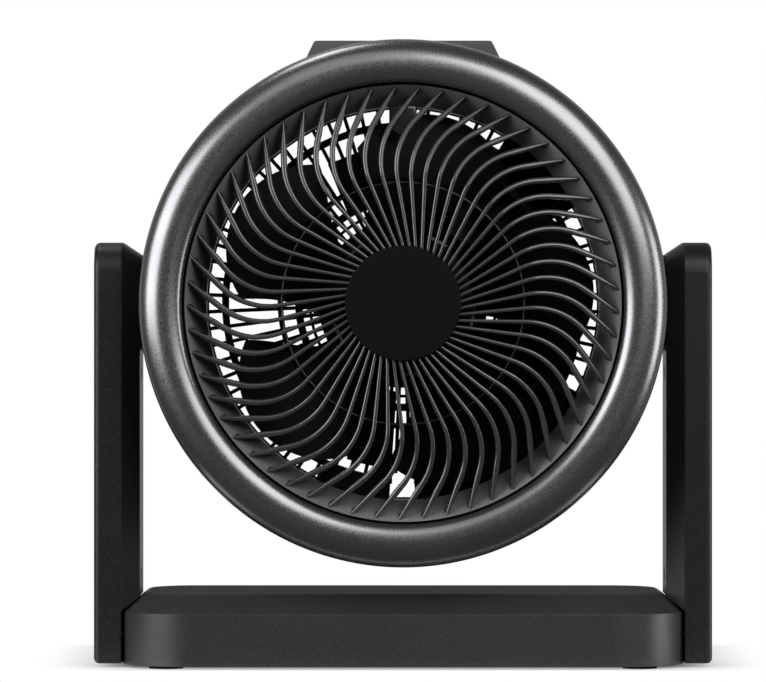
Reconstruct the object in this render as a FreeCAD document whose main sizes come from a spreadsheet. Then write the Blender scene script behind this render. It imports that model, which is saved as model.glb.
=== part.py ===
import FreeCAD
import Part

import math
import os
import types

import Sketcher

Vector = FreeCAD.Vector

# Driving sizes in millimetres, angles in degrees
SIZES = {
    # Tilt axis and pivots
    "axis_height": 188.0,
    "axle_radius": 9.0,
    "axle_fit": 0.04,
    "axle_head_radius": 13.0,
    "axle_head_thickness": 3.0,
    "boss_radius": 25.0,
    "boss_root": 114.0,
    "tilt_gap": 0.5,
    "washer_recess": 1.0,
    "friction_radius": 20.0,
    "friction_play": 0.05,
    "bush_wall": 4.0,
    "bush_fit": 0.02,
    "bush_tail": 2.0,
    "end_play": 0.3,
    "retainer_radius": 12.5,
    "retainer_thickness": 1.5,
    # Arms
    "arm_gap": 272.4,
    "arm_depth": 57.0,
    "arm_top": 31.5,
    "arm_round": 15.5,
    "arm_wall": 2.5,
    "arm_edge": 3.0,
    "arm_lift": 0.5,
    "cover_thickness": 9.5,
    "cover_inset": 6.3,
    "cover_cavity_low": 52.0,
    "cover_cavity_high": 145.0,
    "shell_thickness": 14.1,
    "arm_screw_height": 17.0,
    "arm_screw_spread": 13.0,
    "cover_screw_low": 47.0,
    "cover_screw_high": 152.0,
    # Base
    "base_front": 54.0,
    "base_rear": 74.5,
    "base_height": 38.4,
    "base_shoulder": 28.4,
    "base_chamfer": 12.0,
    "base_corner": 38.0,
    "base_crest": 6.0,
    "base_wall": 2.5,
    "base_gap": 0.3,
    "plate_thickness": 2.5,
    "plate_gap": 0.3,
    "plate_screw_x": 112.0,
    "plate_screw_front": 14.0,
    "plate_screw_rear": 36.0,
    "foot_height": 1.5,
    "foot_recess": 1.0,
    "foot_radius": 9.0,
    "foot_fit": 0.05,
    "foot_x": 122.0,
    "foot_front": 36.0,
    "foot_rear": 56.0,
    "ballast_left": 95.0,
    "ballast_right": 30.0,
    "ballast_front": 30.0,
    "ballast_rear": 50.0,
    "ballast_thickness": 7.0,
    "board_left": 42.0,
    "board_right": 100.0,
    "board_front": 20.0,
    "board_rear": 40.0,
    "board_thickness": 1.6,
    "post_height": 6.0,
    "post_radius": 3.5,
    "post_inset": 6.0,
    "switch_side": 15.0,
    "switch_height": 14.0,
    "gland_x": 70.0,
    "gland_height": 17.0,
    "gland_radius": 6.0,
    "gland_flange": 2.5,
    "gland_flange_thickness": 1.5,
    "gland_bore": 3.5,
    "gland_fit": 0.05,
    # Bezel
    "bezel_radius": 135.0,
    "bezel_width": 22.0,
    "bezel_plane": 65.0,
    "bezel_wall": 2.6,
    "bezel_skirt": 21.0,
    "bezel_taper": 2.5,
    "bezel_screw_radius": 124.0,
    "bezel_boss_radius": 4.0,
    "bezel_screws": 6.0,
    # Grille
    "grille_groove": 1.5,
    "rim_front": 64.0,
    "rim_wall": 2.0,
    "rim_lip": 0.4,
    "rim_collar": 2.0,
    "throat_radius": 101.0,
    "ledge_radius": 118.0,
    "ledge_thickness": 2.0,
    "seam": 0.3,
    "hub_radius": 29.5,
    "hub_front": 71.0,
    "hub_depth": 11.0,
    "hub_wall": 2.5,
    "fin_count": 57.0,
    "fin_root_width": 1.5,
    "fin_turn_width": 2.2,
    "fin_bend_width": 3.0,
    "fin_width": 3.2,
    "fin_tip_width": 0.6,
    "fin_wide_run": 5.0,
    "fin_tip_run": 21.5,
    "fin_rear": 55.0,
    "fin_front": 68.5,
    "fin_end_front": 61.0,
    "fin_end_radius": 110.1,
    "fin_turn": 68.15,
    "fin_turn_radius": 34.5,
    "fin_inner_slope": 7.25,
    "fin_outer_slope": 45.5,
    "fin_phase": 4.4,
    "fin_root": 27.0,
    "support_radius": 62.8,
    "support_width": 2.9,
    "support_depth": 3.0,
    "lug_half_width": 8.25,
    "lug_centre": 96.0,
    # Rear housing and duct
    "drum_front": 46.0,
    "drum_wall": 2.6,
    "drum_rear": 28.0,
    "drum_rear_radius": 113.0,
    "drum_curve": 150.0,
    "duct_radius": 102.0,
    "duct_rear": 2.0,
    # Rear guard
    "guard_thickness": 3.0,
    "guard_rim": 104.5,
    "guard_dish": 22.0,
    "guard_hub": 46.0,
    "guard_hole": 10.0,
    "guard_slots": 72.0,
    "guard_bar": 2.0,
    "row_outer_low": 95.2,
    "row_outer_high": 101.9,
    "row_middle_low": 57.0,
    "row_middle_high": 91.5,
    "row_inner_low": 49.9,
    "row_inner_high": 53.0,
    "row_core_low": 44.7,
    "row_core_high": 48.3,
    "window_low": 89.5,
    "window_half": 5.7,
    "guard_boss": 4.5,
    "guard_boss_length": 12.0,
    "guard_screws": 4.0,
    "bolt_angle": 45.0,
    "cap_radius": 44.0,
    "cap_side": 4.0,
    "cap_depth": 13.0,
    "cap_crown": 80.0,
    "cap_wall": 2.2,
    # Motor
    "motor_radius": 38.0,
    "motor_wall": 3.0,
    "shield_depth": 15.0,
    "stack_depth": 14.0,
    "stack_bore": 24.0,
    "air_gap": 0.5,
    "shaft_radius": 4.0,
    "shaft_front": 44.0,
    "shaft_fit": 0.03,
    "bearing_radius": 8.0,
    "bearing_length": 10.0,
    "bearing_seat": 12.0,
    "winding_inner": 26.0,
    "winding_outer": 33.0,
    "winding_depth": 8.0,
    "motor_screw_circle": 28.0,
    # Fan
    "fan_radius": 99.0,
    "fan_hub": 36.0,
    "fan_hub_rear": 8.0,
    "fan_hub_front": 40.0,
    "fan_hub_wall": 2.5,
    "fan_boss": 9.0,
    "blade_count": 5.0,
    "blade_half_angle": 29.2,
    "blade_waist": 4.7,
    "blade_sweep": 20.0,
    "blade_rise": 28.0,
    "blade_middle": 23.0,
    "blade_thickness": 2.0,
    "blade_round": 44.3,
    "blade_phase": 5.5,
    "nut_radius": 8.0,
    "nut_depth": 5.0,
    # Heater packs
    "pack_inner": 44.0,
    "pack_outer": 101.8,
    "pack_depth": 16.0,
    "pack_wall": 2.0,
    "pack_gap": 0.3,
    "shield_gap": 7.0,
    "shield_sheet": 1.5,
    "wing_outer": 92.0,
    "wing_span": 15.0,
    "ear_thickness": 2.5,
    "ear_circle": 108.0,
    "ear_radius": 4.0,
    "ear_inset": 3.0,
    "ear_boss_length": 14.0,
    "large_pack_start": 273.6,
    "large_pack_span": 59.0,
    "small_pack_start": 29.3,
    "small_pack_span": 28.7,
    "fin_plate": 1.0,
    "fin_plate_pitch": 3.0,
    "ptc_bar": 3.0,
    "cutout_start": 243.5,
    "cutout_span": 22.5,
    "cutout_inner": 91.0,
    "cutout_depth": 12.0,
    "bracket_start": 250.0,
    "bracket_neck": 259.5,
    "bracket_inner": 46.0,
    "bracket_outer": 86.3,
    "bracket_thickness": 2.5,
    # Run capacitor of the motor
    "capacitor_turn": 112.0,
    "capacitor_low": 52.5,
    "capacitor_high": 82.5,
    "capacitor_width": 18.6,
    "capacitor_front": 22.0,
    "capacitor_edge": 2.0,
    "tab_width": 6.3,
    "tab_thickness": 0.8,
    "tab_height": 8.0,
    "tab_spread": 12.0,
    # Control housing on top of the head
    "panel_top": 135.2,
    "panel_half": 45.5,
    "panel_slope": 0.485,
    "panel_front": 42.0,
    "panel_rear": 20.0,
    "panel_drop": 42.0,
    "panel_edge": 2.0,
    "lid_thickness": 2.4,
    "lid_half": 41.0,
    "lid_front": 34.0,
    "lid_rear": 16.0,
    "lid_gap": 0.2,
    "tub_half": 37.5,
    "tub_front": 31.0,
    "tub_rear": 13.0,
    "tub_floor": 108.0,
    "tub_wall": 2.0,
    "tub_gap": 0.4,
    "pcb_height": 119.5,
    "pcb_gap": 1.0,
    "pcb_post": 3.0,
    "tact_side": 6.0,
    "tact_height": 3.4,
    "button_row": 9.0,
    "button_depth": 12.0,
    "button_wide": 25.0,
    "button_narrow": 8.0,
    "button_pitch": 24.5,
    "button_proud": 0.5,
    "button_gap": 0.3,
    "button_lip": 1.2,
    "button_lip_thickness": 1.5,
    "button_travel": 1.2,
    "button_stem": 2.0,
    # Screws
    "screw_radius": 1.9,
    "screw_pilot": 0.05,
    "screw_hole": 0.3,
    "screw_head_radius": 3.6,
    "screw_head_height": 2.4,
    "screw_sink": 1.4,
    "screw_grip": 9.0,
}


# Sizes that carry both a number and a formula on the sheet
class Size:
    """A number on the sheet, or a formula of such numbers."""

    def __init__(self, value, text):
        self.value = float(value)
        self.text = text

    def __add__(self, other):
        other = as_size(other)
        return Size(self.value + other.value, f"({self.text} + {other.text})")

    def __sub__(self, other):
        other = as_size(other)
        return Size(self.value - other.value, f"({self.text} - {other.text})")

    def __mul__(self, other):
        other = as_size(other)
        return Size(self.value * other.value, f"({self.text} * {other.text})")

    def __truediv__(self, other):
        other = as_size(other)
        return Size(self.value / other.value, f"({self.text} / {other.text})")

    def __radd__(self, other):
        return as_size(other) + self

    def __rsub__(self, other):
        return as_size(other) - self

    def __rmul__(self, other):
        return as_size(other) * self

    def __rtruediv__(self, other):
        return as_size(other) / self

    def __neg__(self):
        return Size(-self.value, f"(-{self.text})")


def as_size(number):
    """Return a plain number as a size; a size comes back as it is."""
    if isinstance(number, Size):
        return number
    return Size(number, repr(float(number)))


def cosine(angle):
    """Cosine of an angle in degrees."""
    return Size(math.cos(math.radians(angle.value)), f"cos({angle.text} * 1 deg)")


def sine(angle):
    """Sine of an angle in degrees."""
    return Size(math.sin(math.radians(angle.value)), f"sin({angle.text} * 1 deg)")


# The document and its sheet of sizes
doc = FreeCAD.newDocument("fan_heater")
sheet = doc.addObject("Spreadsheet::Sheet", "Sizes")
for row, (alias, number) in enumerate(SIZES.items(), start=1):
    sheet.set(f"A{row}", alias)
    sheet.set(f"B{row}", str(number))
    sheet.setAlias(f"B{row}", alias)
doc.recompute()
S = types.SimpleNamespace(**{alias: Size(sheet.get(alias), f"Sizes.{alias}") for alias in SIZES})

HEAD_TURN = FreeCAD.Rotation(Vector(1, 0, 0), 90)
LEFT_TURN = FreeCAD.Rotation(Vector(0, 0, 1), 180)
DEGREES = math.degrees(1.0)
sub_parts = []


# Places: the head's own frame has its axis along +Z, forward, and +Y up
def place_in_head(piece):
    """Put a piece drawn in the head's frame on the tilt axis."""
    piece.Placement = FreeCAD.Placement(Vector(0, 0, S.axis_height.value), HEAD_TURN)
    piece.setExpression("Placement.Base.z", S.axis_height.text)


def new_body(label, frame="stand"):
    """Start a sub-part in the stand's frame, in the head's, or as a left-hand twin."""
    body = doc.addObject("PartDesign::Body", label)
    body.Label = label
    body.AllowCompound = True
    if frame == "head":
        place_in_head(body)
    if frame == "left":
        body.Placement = FreeCAD.Placement(Vector(0, 0, 0), LEFT_TURN)
    sub_parts.append(body)
    return body


def shaped_part(label, shape, frame="stand"):
    """Keep a worked-out shape as a sub-part."""
    piece = doc.addObject("Part::Feature", label)
    piece.Label = label
    piece.Shape = shape
    if frame == "head":
        place_in_head(piece)
    sub_parts.append(piece)
    return piece


def origin(body, role):
    """Return the body's own origin plane or axis."""
    for feature in body.Origin.OriginFeatures:
        if feature.Role == role:
            return feature
    raise ValueError(role)


# Sketches: an outline is a list of points (x, y) or (x, y, radius), where the radius bends the edge
# that follows, to the left if positive; a circle is a tuple ("circle", x, y, radius)
def pin_point(constraints, formulas, geometry, end, x, y):
    """Tie a point to the sketch origin by two sizes."""
    for kind, axis, coordinate in (("DistanceX", -2, x), ("DistanceY", -1, y)):
        if not isinstance(coordinate, Size) and coordinate == 0:
            constraints.append(Sketcher.Constraint("PointOnObject", geometry, end, axis))
            continue
        coordinate = as_size(coordinate)
        formulas.append((len(constraints), coordinate.text))
        constraints.append(Sketcher.Constraint(kind, -1, 1, geometry, end, coordinate.value))


def bent_edge(start, finish, radius):
    """Arc from start to finish, with its centre on the left for a positive radius."""
    chord = finish - start
    middle = (start + finish) * 0.5
    rise = math.sqrt(max(radius * radius - chord.Length ** 2 / 4.0, 0.0))
    side = Vector(-chord.y, chord.x, 0).normalize() * math.copysign(rise, radius)
    centre = middle + side
    first = math.atan2(start.y - centre.y, start.x - centre.x)
    last = math.atan2(finish.y - centre.y, finish.x - centre.x)
    if radius < 0:
        first, last = last, first
    return Part.ArcOfCircle(Part.Circle(centre, Vector(0, 0, 1), abs(radius)), first, last)


def draw(body, role, outlines, offset=None, name="Outline"):
    """Draw closed outlines on an origin plane of the body, with every point tied to the sheet."""
    sketch = body.newObject("Sketcher::SketchObject", name)
    sketch.AttachmentSupport = (origin(body, role), [""])
    sketch.MapMode = "FlatFace"
    if offset is not None:
        offset = as_size(offset)
        sketch.AttachmentOffset = FreeCAD.Placement(Vector(0, 0, offset.value), FreeCAD.Rotation())
        sketch.setExpression("AttachmentOffset.Base.z", offset.text)
    constraints = []
    formulas = []
    for outline in outlines:
        if outline[0] == "circle":
            x, y, radius = (as_size(value) for value in outline[1:])
            ring = Part.Circle(Vector(x.value, y.value, 0), Vector(0, 0, 1), radius.value)
            geometry = sketch.addGeometry(ring, False)
            pin_point(constraints, formulas, geometry, 3, outline[1], outline[2])
            formulas.append((len(constraints), radius.text))
            constraints.append(Sketcher.Constraint("Radius", geometry, radius.value))
            continue
        edges = []
        for index, point in enumerate(outline):
            after = outline[(index + 1) % len(outline)]
            start = Vector(as_size(point[0]).value, as_size(point[1]).value, 0)
            finish = Vector(as_size(after[0]).value, as_size(after[1]).value, 0)
            ends = (1, 2)
            if len(point) == 3:
                radius = as_size(point[2])
                geometry = sketch.addGeometry(bent_edge(start, finish, radius.value), False)
                size_text = radius.text
                if radius.value < 0:
                    ends = (2, 1)
                    size_text = f"(-{radius.text})"
                formulas.append((len(constraints), size_text))
                constraints.append(Sketcher.Constraint("Radius", geometry, abs(radius.value)))
            else:
                geometry = sketch.addGeometry(Part.LineSegment(start, finish), False)
            pin_point(constraints, formulas, geometry, ends[0], point[0], point[1])
            edges.append((geometry, ends))
        for index, (geometry, ends) in enumerate(edges):
            follower, follower_ends = edges[(index + 1) % len(edges)]
            constraints.append(
                Sketcher.Constraint("Coincident", geometry, ends[1], follower, follower_ends[0])
            )
    sketch.addConstraint(constraints)
    for index, text in formulas:
        sketch.setExpression(f"Constraints[{index}]", text)
    return sketch


# Features
def finish(body, feature):
    """Make the feature the body's newest one and bring it up to date."""
    feature.Refine = False
    body.Tip = feature
    doc.recompute()
    return feature


def pad(body, sketch, length, backward=False):
    """Raise a sketch by a length along the plane's normal, or against it."""
    feature = body.newObject("PartDesign::Pad", "Pad")
    feature.Profile = sketch
    feature.Reversed = backward
    length = as_size(length)
    feature.Length = length.value
    feature.setExpression("Length", length.text)
    return finish(body, feature)


def pocket(body, sketch, length, forward=False):
    """Cut a sketch against the plane's normal, or along it; the cut must take material away."""
    before = body.Tip.Shape.Volume
    feature = body.newObject("PartDesign::Pocket", "Pocket")
    feature.Profile = sketch
    feature.Reversed = forward
    length = as_size(length)
    feature.Length = length.value
    feature.setExpression("Length", length.text)
    finish(body, feature)
    if feature.Shape.Volume > before - 0.01:
        raise RuntimeError(f"{body.Label}: a pocket cuts nothing")
    return feature


def revolve(body, outlines, kind="PartDesign::Revolution", axis="Z_Axis", name="Profile"):
    """Turn closed profiles (radius, height) once round the body's Z axis."""
    feature_sketch = draw(body, "XZ_Plane", outlines, name=name)
    feature = body.newObject(kind, "Turned")
    feature.Profile = feature_sketch
    feature.ReferenceAxis = (origin(body, axis), [""])
    feature.Angle = 360
    return finish(body, feature)


def groove(body, outlines):
    """Turn away closed profiles round the body's Z axis; the cut must take material away."""
    before = body.Tip.Shape.Volume
    feature = revolve(body, outlines, "PartDesign::Groove", name="Cut profile")
    if feature.Shape.Volume > before - 0.01:
        raise RuntimeError(f"{body.Label}: a groove cuts nothing")
    return feature


def around(body, feature, count, reach=None):
    """Repeat a feature evenly round the body's Z axis, all the way or over an angle."""
    count = as_size(count)
    pattern = body.newObject("PartDesign::PolarPattern", "Around")
    pattern.Originals = [feature]
    pattern.Axis = (origin(body, "Z_Axis"), [""])
    pattern.Angle = 360
    if reach is not None:
        pattern.Angle = reach.value
        pattern.setExpression("Angle", reach.text)
    pattern.Occurrences = int(round(count.value))
    pattern.setExpression("Occurrences", count.text)
    return finish(body, pattern)


def mirror(body, features, role="YZ_Plane"):
    """Repeat features on the other side of an origin plane."""
    twin = body.newObject("PartDesign::Mirrored", "Mirrored")
    twin.Originals = features
    twin.MirrorPlane = (origin(body, role), [""])
    return finish(body, twin)


def loft(body, sketches, kind="PartDesign::AdditiveLoft"):
    """Join outlines with straight walls."""
    feature = body.newObject(kind, "Loft")
    feature.Profile = sketches[0]
    feature.Sections = sketches[1:]
    feature.Ruled = True
    return finish(body, feature)


def round_edges(body, choose, radius):
    """Round the edges of the newest feature whose bounding box is chosen."""
    base = body.Tip
    names = [f"Edge{i}" for i, edge in enumerate(base.Shape.Edges, 1) if choose(edge.BoundBox)]
    if not names:
        raise RuntimeError(f"{body.Label}: no edge to round")
    feature = body.newObject("PartDesign::Fillet", "Round")
    feature.Base = (base, names)
    feature.Radius = radius.value
    feature.setExpression("Radius", radius.text)
    return finish(body, feature)


def box_outline(left, low, right, high):
    """Corners of an upright rectangle."""
    return [(left, low), (right, low), (right, high), (left, high)]


def rounded_box(half, front, rear, corner):
    """Plan of a box with rounded corners, front towards -Y."""
    return [
        (corner - half, -front),
        (half - corner, -front, corner),
        (half, corner - front),
        (half, rear - corner, corner),
        (half - corner, rear),
        (corner - half, rear, corner),
        (-half, rear - corner),
        (-half, corner - front, corner),
    ]


def polar(radius, angle):
    """Point at a radius and an angle in degrees."""
    return radius * cosine(angle), radius * sine(angle)


# Screws with a low domed head
def screw(seat, direction, grip):
    """One screw: the head's underside is at the seat and the shank runs along the direction."""
    head_radius = S.screw_head_radius.value
    head_height = S.screw_head_height.value
    shank = Part.makeCylinder(S.screw_radius.value, grip, seat, direction)
    crown = (head_radius ** 2 + head_height ** 2) / (2.0 * head_height)
    ball = Part.makeSphere(crown, seat + direction * (crown - head_height))
    disc = Part.makeCylinder(head_radius, head_height, seat, direction * -1.0)
    return shank.fuse(ball.common(disc)).removeSplitter()


def screw_group(label, screws, frame="stand"):
    """Alike screws kept as one sub-part of separate solids."""
    return shaped_part(label, Part.makeCompound([screw(*each) for each in screws]), frame)


# Shared stations
arm_inner = S.arm_gap / 2
arm_joint = arm_inner + S.cover_thickness
arm_outer = arm_joint + S.shell_thickness
arm_half = S.arm_depth / 2
arm_foot = S.foot_height + S.arm_lift
base_half = arm_joint - S.base_gap
base_inner_half = base_half - S.base_wall
plate_top = S.foot_height + S.plate_thickness
boss_end = arm_inner - S.tilt_gap
bush_radius = S.axle_radius + S.bush_wall
bush_start = arm_inner + S.washer_recess
bush_end = arm_joint + S.bush_tail
axle_end = bush_end + S.end_play
bezel_inner = S.bezel_radius - S.bezel_width
bezel_rear = S.bezel_plane - S.bezel_skirt
drum_step = S.bezel_radius - S.bezel_taper - S.bezel_wall - S.seam
drum_shoulder = bezel_rear - S.seam
drum_front_radius = S.bezel_radius - S.bezel_taper - S.seam
drum_inside = drum_shoulder - S.drum_wall
duct_outer = S.duct_radius + S.drum_wall
rim_radius = bezel_inner - S.grille_groove
ledge_front = S.drum_front + S.ledge_thickness
guard_front = -S.drum_rear
guard_back = guard_front - S.guard_thickness
guard_bolt_circle = S.guard_rim + S.screw_head_radius + S.seam
motor_rear = guard_front - S.guard_dish
hub_back = motor_rear - S.guard_thickness
stack_rear = motor_rear + S.shield_depth
stack_front = stack_rear + S.stack_depth
motor_front = stack_front + S.shield_depth
pack_front = -S.duct_rear
screw_bore = S.screw_radius + S.screw_pilot
screw_clear = S.screw_radius + S.screw_hole
lid_under = S.panel_top - S.lid_thickness
tact_top = S.pcb_height + S.board_thickness + S.tact_height


# Stand: base
def make_base_housing():
    """Upper moulding of the base: rounded box with a chamfered top edge, open below."""
    body = new_body("base_housing")
    plan = rounded_box(base_half, S.base_front, S.base_rear, S.base_corner)
    pad(body, draw(body, "XY_Plane", [plan], S.foot_height), S.base_shoulder - S.foot_height)
    low = draw(body, "XY_Plane", [plan], S.base_shoulder)
    top = draw(
        body,
        "XY_Plane",
        [
            rounded_box(
                base_half - S.base_chamfer,
                S.base_front - S.base_chamfer,
                S.base_rear - S.base_chamfer,
                S.base_corner - S.base_chamfer,
            )
        ],
        S.base_height,
    )
    loft(body, [low, top])
    top_level = S.base_height.value
    round_edges(body, lambda box: box.ZMin > top_level - 0.01, S.base_crest)
    room = rounded_box(
        base_half - S.base_wall,
        S.base_front - S.base_wall,
        S.base_rear - S.base_wall,
        S.base_corner - S.base_wall,
    )
    room_height = S.base_shoulder - S.base_wall - S.foot_height
    pocket(body, draw(body, "XY_Plane", [room], S.foot_height), room_height, forward=True)
    room_low = draw(body, "XY_Plane", [room], S.base_shoulder - S.base_wall)
    inset = S.base_wall + S.base_chamfer
    room_top = draw(
        body,
        "XY_Plane",
        [
            rounded_box(
                base_half - inset, S.base_front - inset, S.base_rear - inset, S.base_corner - inset
            )
        ],
        S.base_height - S.base_wall,
    )
    loft(body, [room_low, room_top], "PartDesign::SubtractiveLoft")
    columns = []
    bores = []
    for x in (-S.plate_screw_x, S.plate_screw_x):
        for y in (-S.plate_screw_front, S.plate_screw_rear):
            columns.append(("circle", x, y, S.post_radius))
            bores.append(("circle", x, y, screw_bore))
    pad(body, draw(body, "XY_Plane", columns, plate_top), S.base_height - S.base_wall - plate_top + 0.5)
    pocket(body, draw(body, "XY_Plane", bores, plate_top), S.screw_grip + 1.0, forward=True)
    holes = [
        ("circle", -S.arm_screw_spread, S.arm_screw_height, screw_clear),
        ("circle", S.arm_screw_spread, S.arm_screw_height, screw_clear),
    ]
    right = pocket(body, draw(body, "YZ_Plane", [*holes], base_half + 1.0), S.base_wall + 2.0)
    mirror(body, [right])
    inlet = ("circle", -S.gland_x, S.gland_height, S.gland_radius + S.gland_fit)
    pocket(body, draw(body, "XZ_Plane", [inlet], -S.base_rear - 1.0), S.base_wall + 2.0, forward=True)


def make_base_plate():
    """Closing plate under the base, with recesses for the feet and posts for the power board."""
    body = new_body("base_plate")
    inset = S.base_wall + S.plate_gap
    plan = rounded_box(
        base_half - inset, S.base_front - inset, S.base_rear - inset, S.base_corner - inset
    )
    pad(body, draw(body, "XY_Plane", [plan], S.foot_height), S.plate_thickness)
    posts = []
    screw_holes = []
    for x in (S.board_left + S.post_inset, S.board_right - S.post_inset):
        for y in (S.post_inset - S.board_front, S.board_rear - S.post_inset):
            posts.append(("circle", x, y, S.post_radius))
    pad(body, draw(body, "XY_Plane", posts, plate_top), S.post_height)
    recesses = []
    for x in (-S.foot_x, S.foot_x):
        for y in (-S.foot_front, S.foot_rear):
            recesses.append(("circle", x, y, S.foot_radius))
    pocket(body, draw(body, "XY_Plane", recesses, S.foot_height), S.foot_recess, forward=True)
    for x in (-S.plate_screw_x, S.plate_screw_x):
        for y in (-S.plate_screw_front, S.plate_screw_rear):
            screw_holes.append(("circle", x, y, screw_clear))
    through = S.plate_thickness + 1.0
    pocket(body, draw(body, "XY_Plane", screw_holes, S.foot_height), through, forward=True)
    sinks = [(*hole[:3], S.screw_head_radius + S.screw_hole) for hole in screw_holes]
    pocket(body, draw(body, "XY_Plane", sinks, S.foot_height), S.screw_sink, forward=True)


def make_base_contents():
    """Feet, ballast, power board, tip-over switch and cord gland."""
    feet = new_body("rubber_feet")
    discs = []
    for x in (-S.foot_x, S.foot_x):
        for y in (-S.foot_front, S.foot_rear):
            discs.append(("circle", x, y, S.foot_radius - S.foot_fit))
    pad(feet, draw(feet, "XY_Plane", discs), S.foot_height + S.foot_recess)

    ballast = new_body("ballast_plate")
    slab = box_outline(-S.ballast_left, -S.ballast_front, S.ballast_right, S.ballast_rear)
    pad(ballast, draw(ballast, "XY_Plane", [slab], plate_top), S.ballast_thickness)

    board_level = plate_top + S.post_height
    board = new_body("power_board")
    card = box_outline(S.board_left, -S.board_front, S.board_right, S.board_rear)
    pad(board, draw(board, "XY_Plane", [card], board_level), S.board_thickness)

    switch = new_body("tip_over_switch")
    middle = (S.board_left + S.board_right) / 2
    side = S.switch_side / 2
    block = box_outline(middle - side, -side, middle + side, side)
    pad(switch, draw(switch, "XY_Plane", [block], board_level + S.board_thickness), S.switch_height)

    gland = new_body("cord_gland")
    flange = S.gland_radius + S.gland_flange
    outside = -S.base_rear - S.gland_flange_thickness
    centre = (-S.gland_x, S.gland_height)
    pad(gland, draw(gland, "XZ_Plane", [("circle", *centre, flange)], outside), S.gland_flange_thickness)
    neck = draw(gland, "XZ_Plane", [("circle", *centre, S.gland_radius)], -S.base_rear)
    pad(gland, neck, S.base_wall)
    inner = draw(gland, "XZ_Plane", [("circle", *centre, flange)], S.base_wall - S.base_rear)
    pad(gland, inner, S.gland_flange_thickness)
    bore = draw(gland, "XZ_Plane", [("circle", *centre, S.gland_bore)], outside)
    pocket(gland, bore, S.base_wall + S.gland_flange_thickness * 2 + 1.0, forward=True)


# Stand: arms
def arm_outline(inset, low):
    """Side view of an arm, drawn in by an inset: a strap with rounded upper corners."""
    half = arm_half - inset
    top = S.axis_height + S.arm_top - inset
    corner = S.arm_round - inset
    return [
        (-half, low),
        (half, low),
        (half, top - corner, corner),
        (half - corner, top),
        (corner - half, top, corner),
        (-half, top - corner),
    ]


def make_arm(side, frame):
    """One arm in right-hand place: outer shell, inner cover, bush and friction washer."""
    shell = new_body(f"{side}_arm_shell", frame)
    outline = arm_outline(0, arm_foot)
    pad(shell, draw(shell, "YZ_Plane", [outline], arm_joint), S.shell_thickness)
    outer = arm_outer.value
    round_edges(shell, lambda box: box.XMin > outer - 0.01, S.arm_edge)
    room = arm_outline(S.arm_wall, arm_foot + S.arm_wall)
    pocket(shell, draw(shell, "YZ_Plane", [room], arm_joint), S.shell_thickness - S.arm_wall, forward=True)
    base_holes = [
        (-S.arm_screw_spread, S.arm_screw_height),
        (S.arm_screw_spread, S.arm_screw_height),
    ]
    cover_holes = [(0, S.cover_screw_low), (0, S.cover_screw_high)]
    columns = [("circle", *place, S.post_radius) for place in base_holes + cover_holes]
    pad(shell, draw(shell, "YZ_Plane", columns, arm_joint), S.shell_thickness - S.arm_wall + 0.5)
    bores = [("circle", *place, screw_bore) for place in base_holes + cover_holes]
    pocket(shell, draw(shell, "YZ_Plane", bores, arm_joint), S.screw_grip, forward=True)

    cover = new_body(f"{side}_arm_cover", frame)
    low = S.base_shoulder - S.base_chamfer
    wide = draw(cover, "YZ_Plane", [arm_outline(0, low)], arm_joint)
    narrow = draw(cover, "YZ_Plane", [arm_outline(S.cover_inset, low)], arm_inner)
    loft(cover, [wide, narrow])
    slope_gap = S.base_gap + S.seam
    slope_top = S.base_height + slope_gap
    slope = [
        (arm_inner - 1.0, low - 1.0),
        (arm_joint + 1.0, low - 1.0),
        (arm_joint + 1.0, S.base_shoulder + slope_gap),
        (base_half, S.base_shoulder + slope_gap),
        (base_half - S.base_chamfer, slope_top),
        (arm_inner - 1.0, slope_top),
    ]
    under = draw(cover, "XZ_Plane", [slope], arm_half + 1.0)
    pocket(cover, under, S.arm_depth + 2.0)
    hollow_half = arm_half - S.cover_inset - S.arm_wall
    hollow = box_outline(-hollow_half, S.cover_cavity_low, hollow_half, S.cover_cavity_high)
    pocket(cover, draw(cover, "YZ_Plane", [hollow], arm_joint), S.cover_thickness - S.arm_wall)
    seat = ("circle", 0, S.axis_height, bush_radius)
    pocket(cover, draw(cover, "YZ_Plane", [seat], arm_joint + 1.0), S.cover_thickness + 2.0)
    recess = ("circle", 0, S.axis_height, S.friction_radius + S.friction_play)
    pocket(cover, draw(cover, "YZ_Plane", [recess], arm_inner), S.washer_recess, forward=True)
    holes = [("circle", *place, screw_clear) for place in cover_holes]
    pocket(cover, draw(cover, "YZ_Plane", holes, arm_joint + 1.0), S.cover_thickness + 2.0)
    sinks = [("circle", *place, S.screw_head_radius + S.screw_hole) for place in cover_holes]
    pocket(cover, draw(cover, "YZ_Plane", sinks, arm_inner), S.screw_head_height + 0.3, forward=True)

    bush = new_body(f"{side}_pivot_bush", frame)
    sleeve = [
        ("circle", 0, S.axis_height, bush_radius - S.bush_fit),
        ("circle", 0, S.axis_height, S.axle_radius + S.axle_fit),
    ]
    pad(bush, draw(bush, "YZ_Plane", sleeve, bush_start), bush_end - bush_start)

    washer = new_body(f"{side}_friction_washer", frame)
    disc = [
        ("circle", 0, S.axis_height, S.friction_radius),
        ("circle", 0, S.axis_height, S.axle_radius + S.end_play),
    ]
    washer_start = boss_end + S.friction_play
    pad(washer, draw(washer, "YZ_Plane", disc, washer_start), bush_start - S.friction_play - washer_start)


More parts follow.
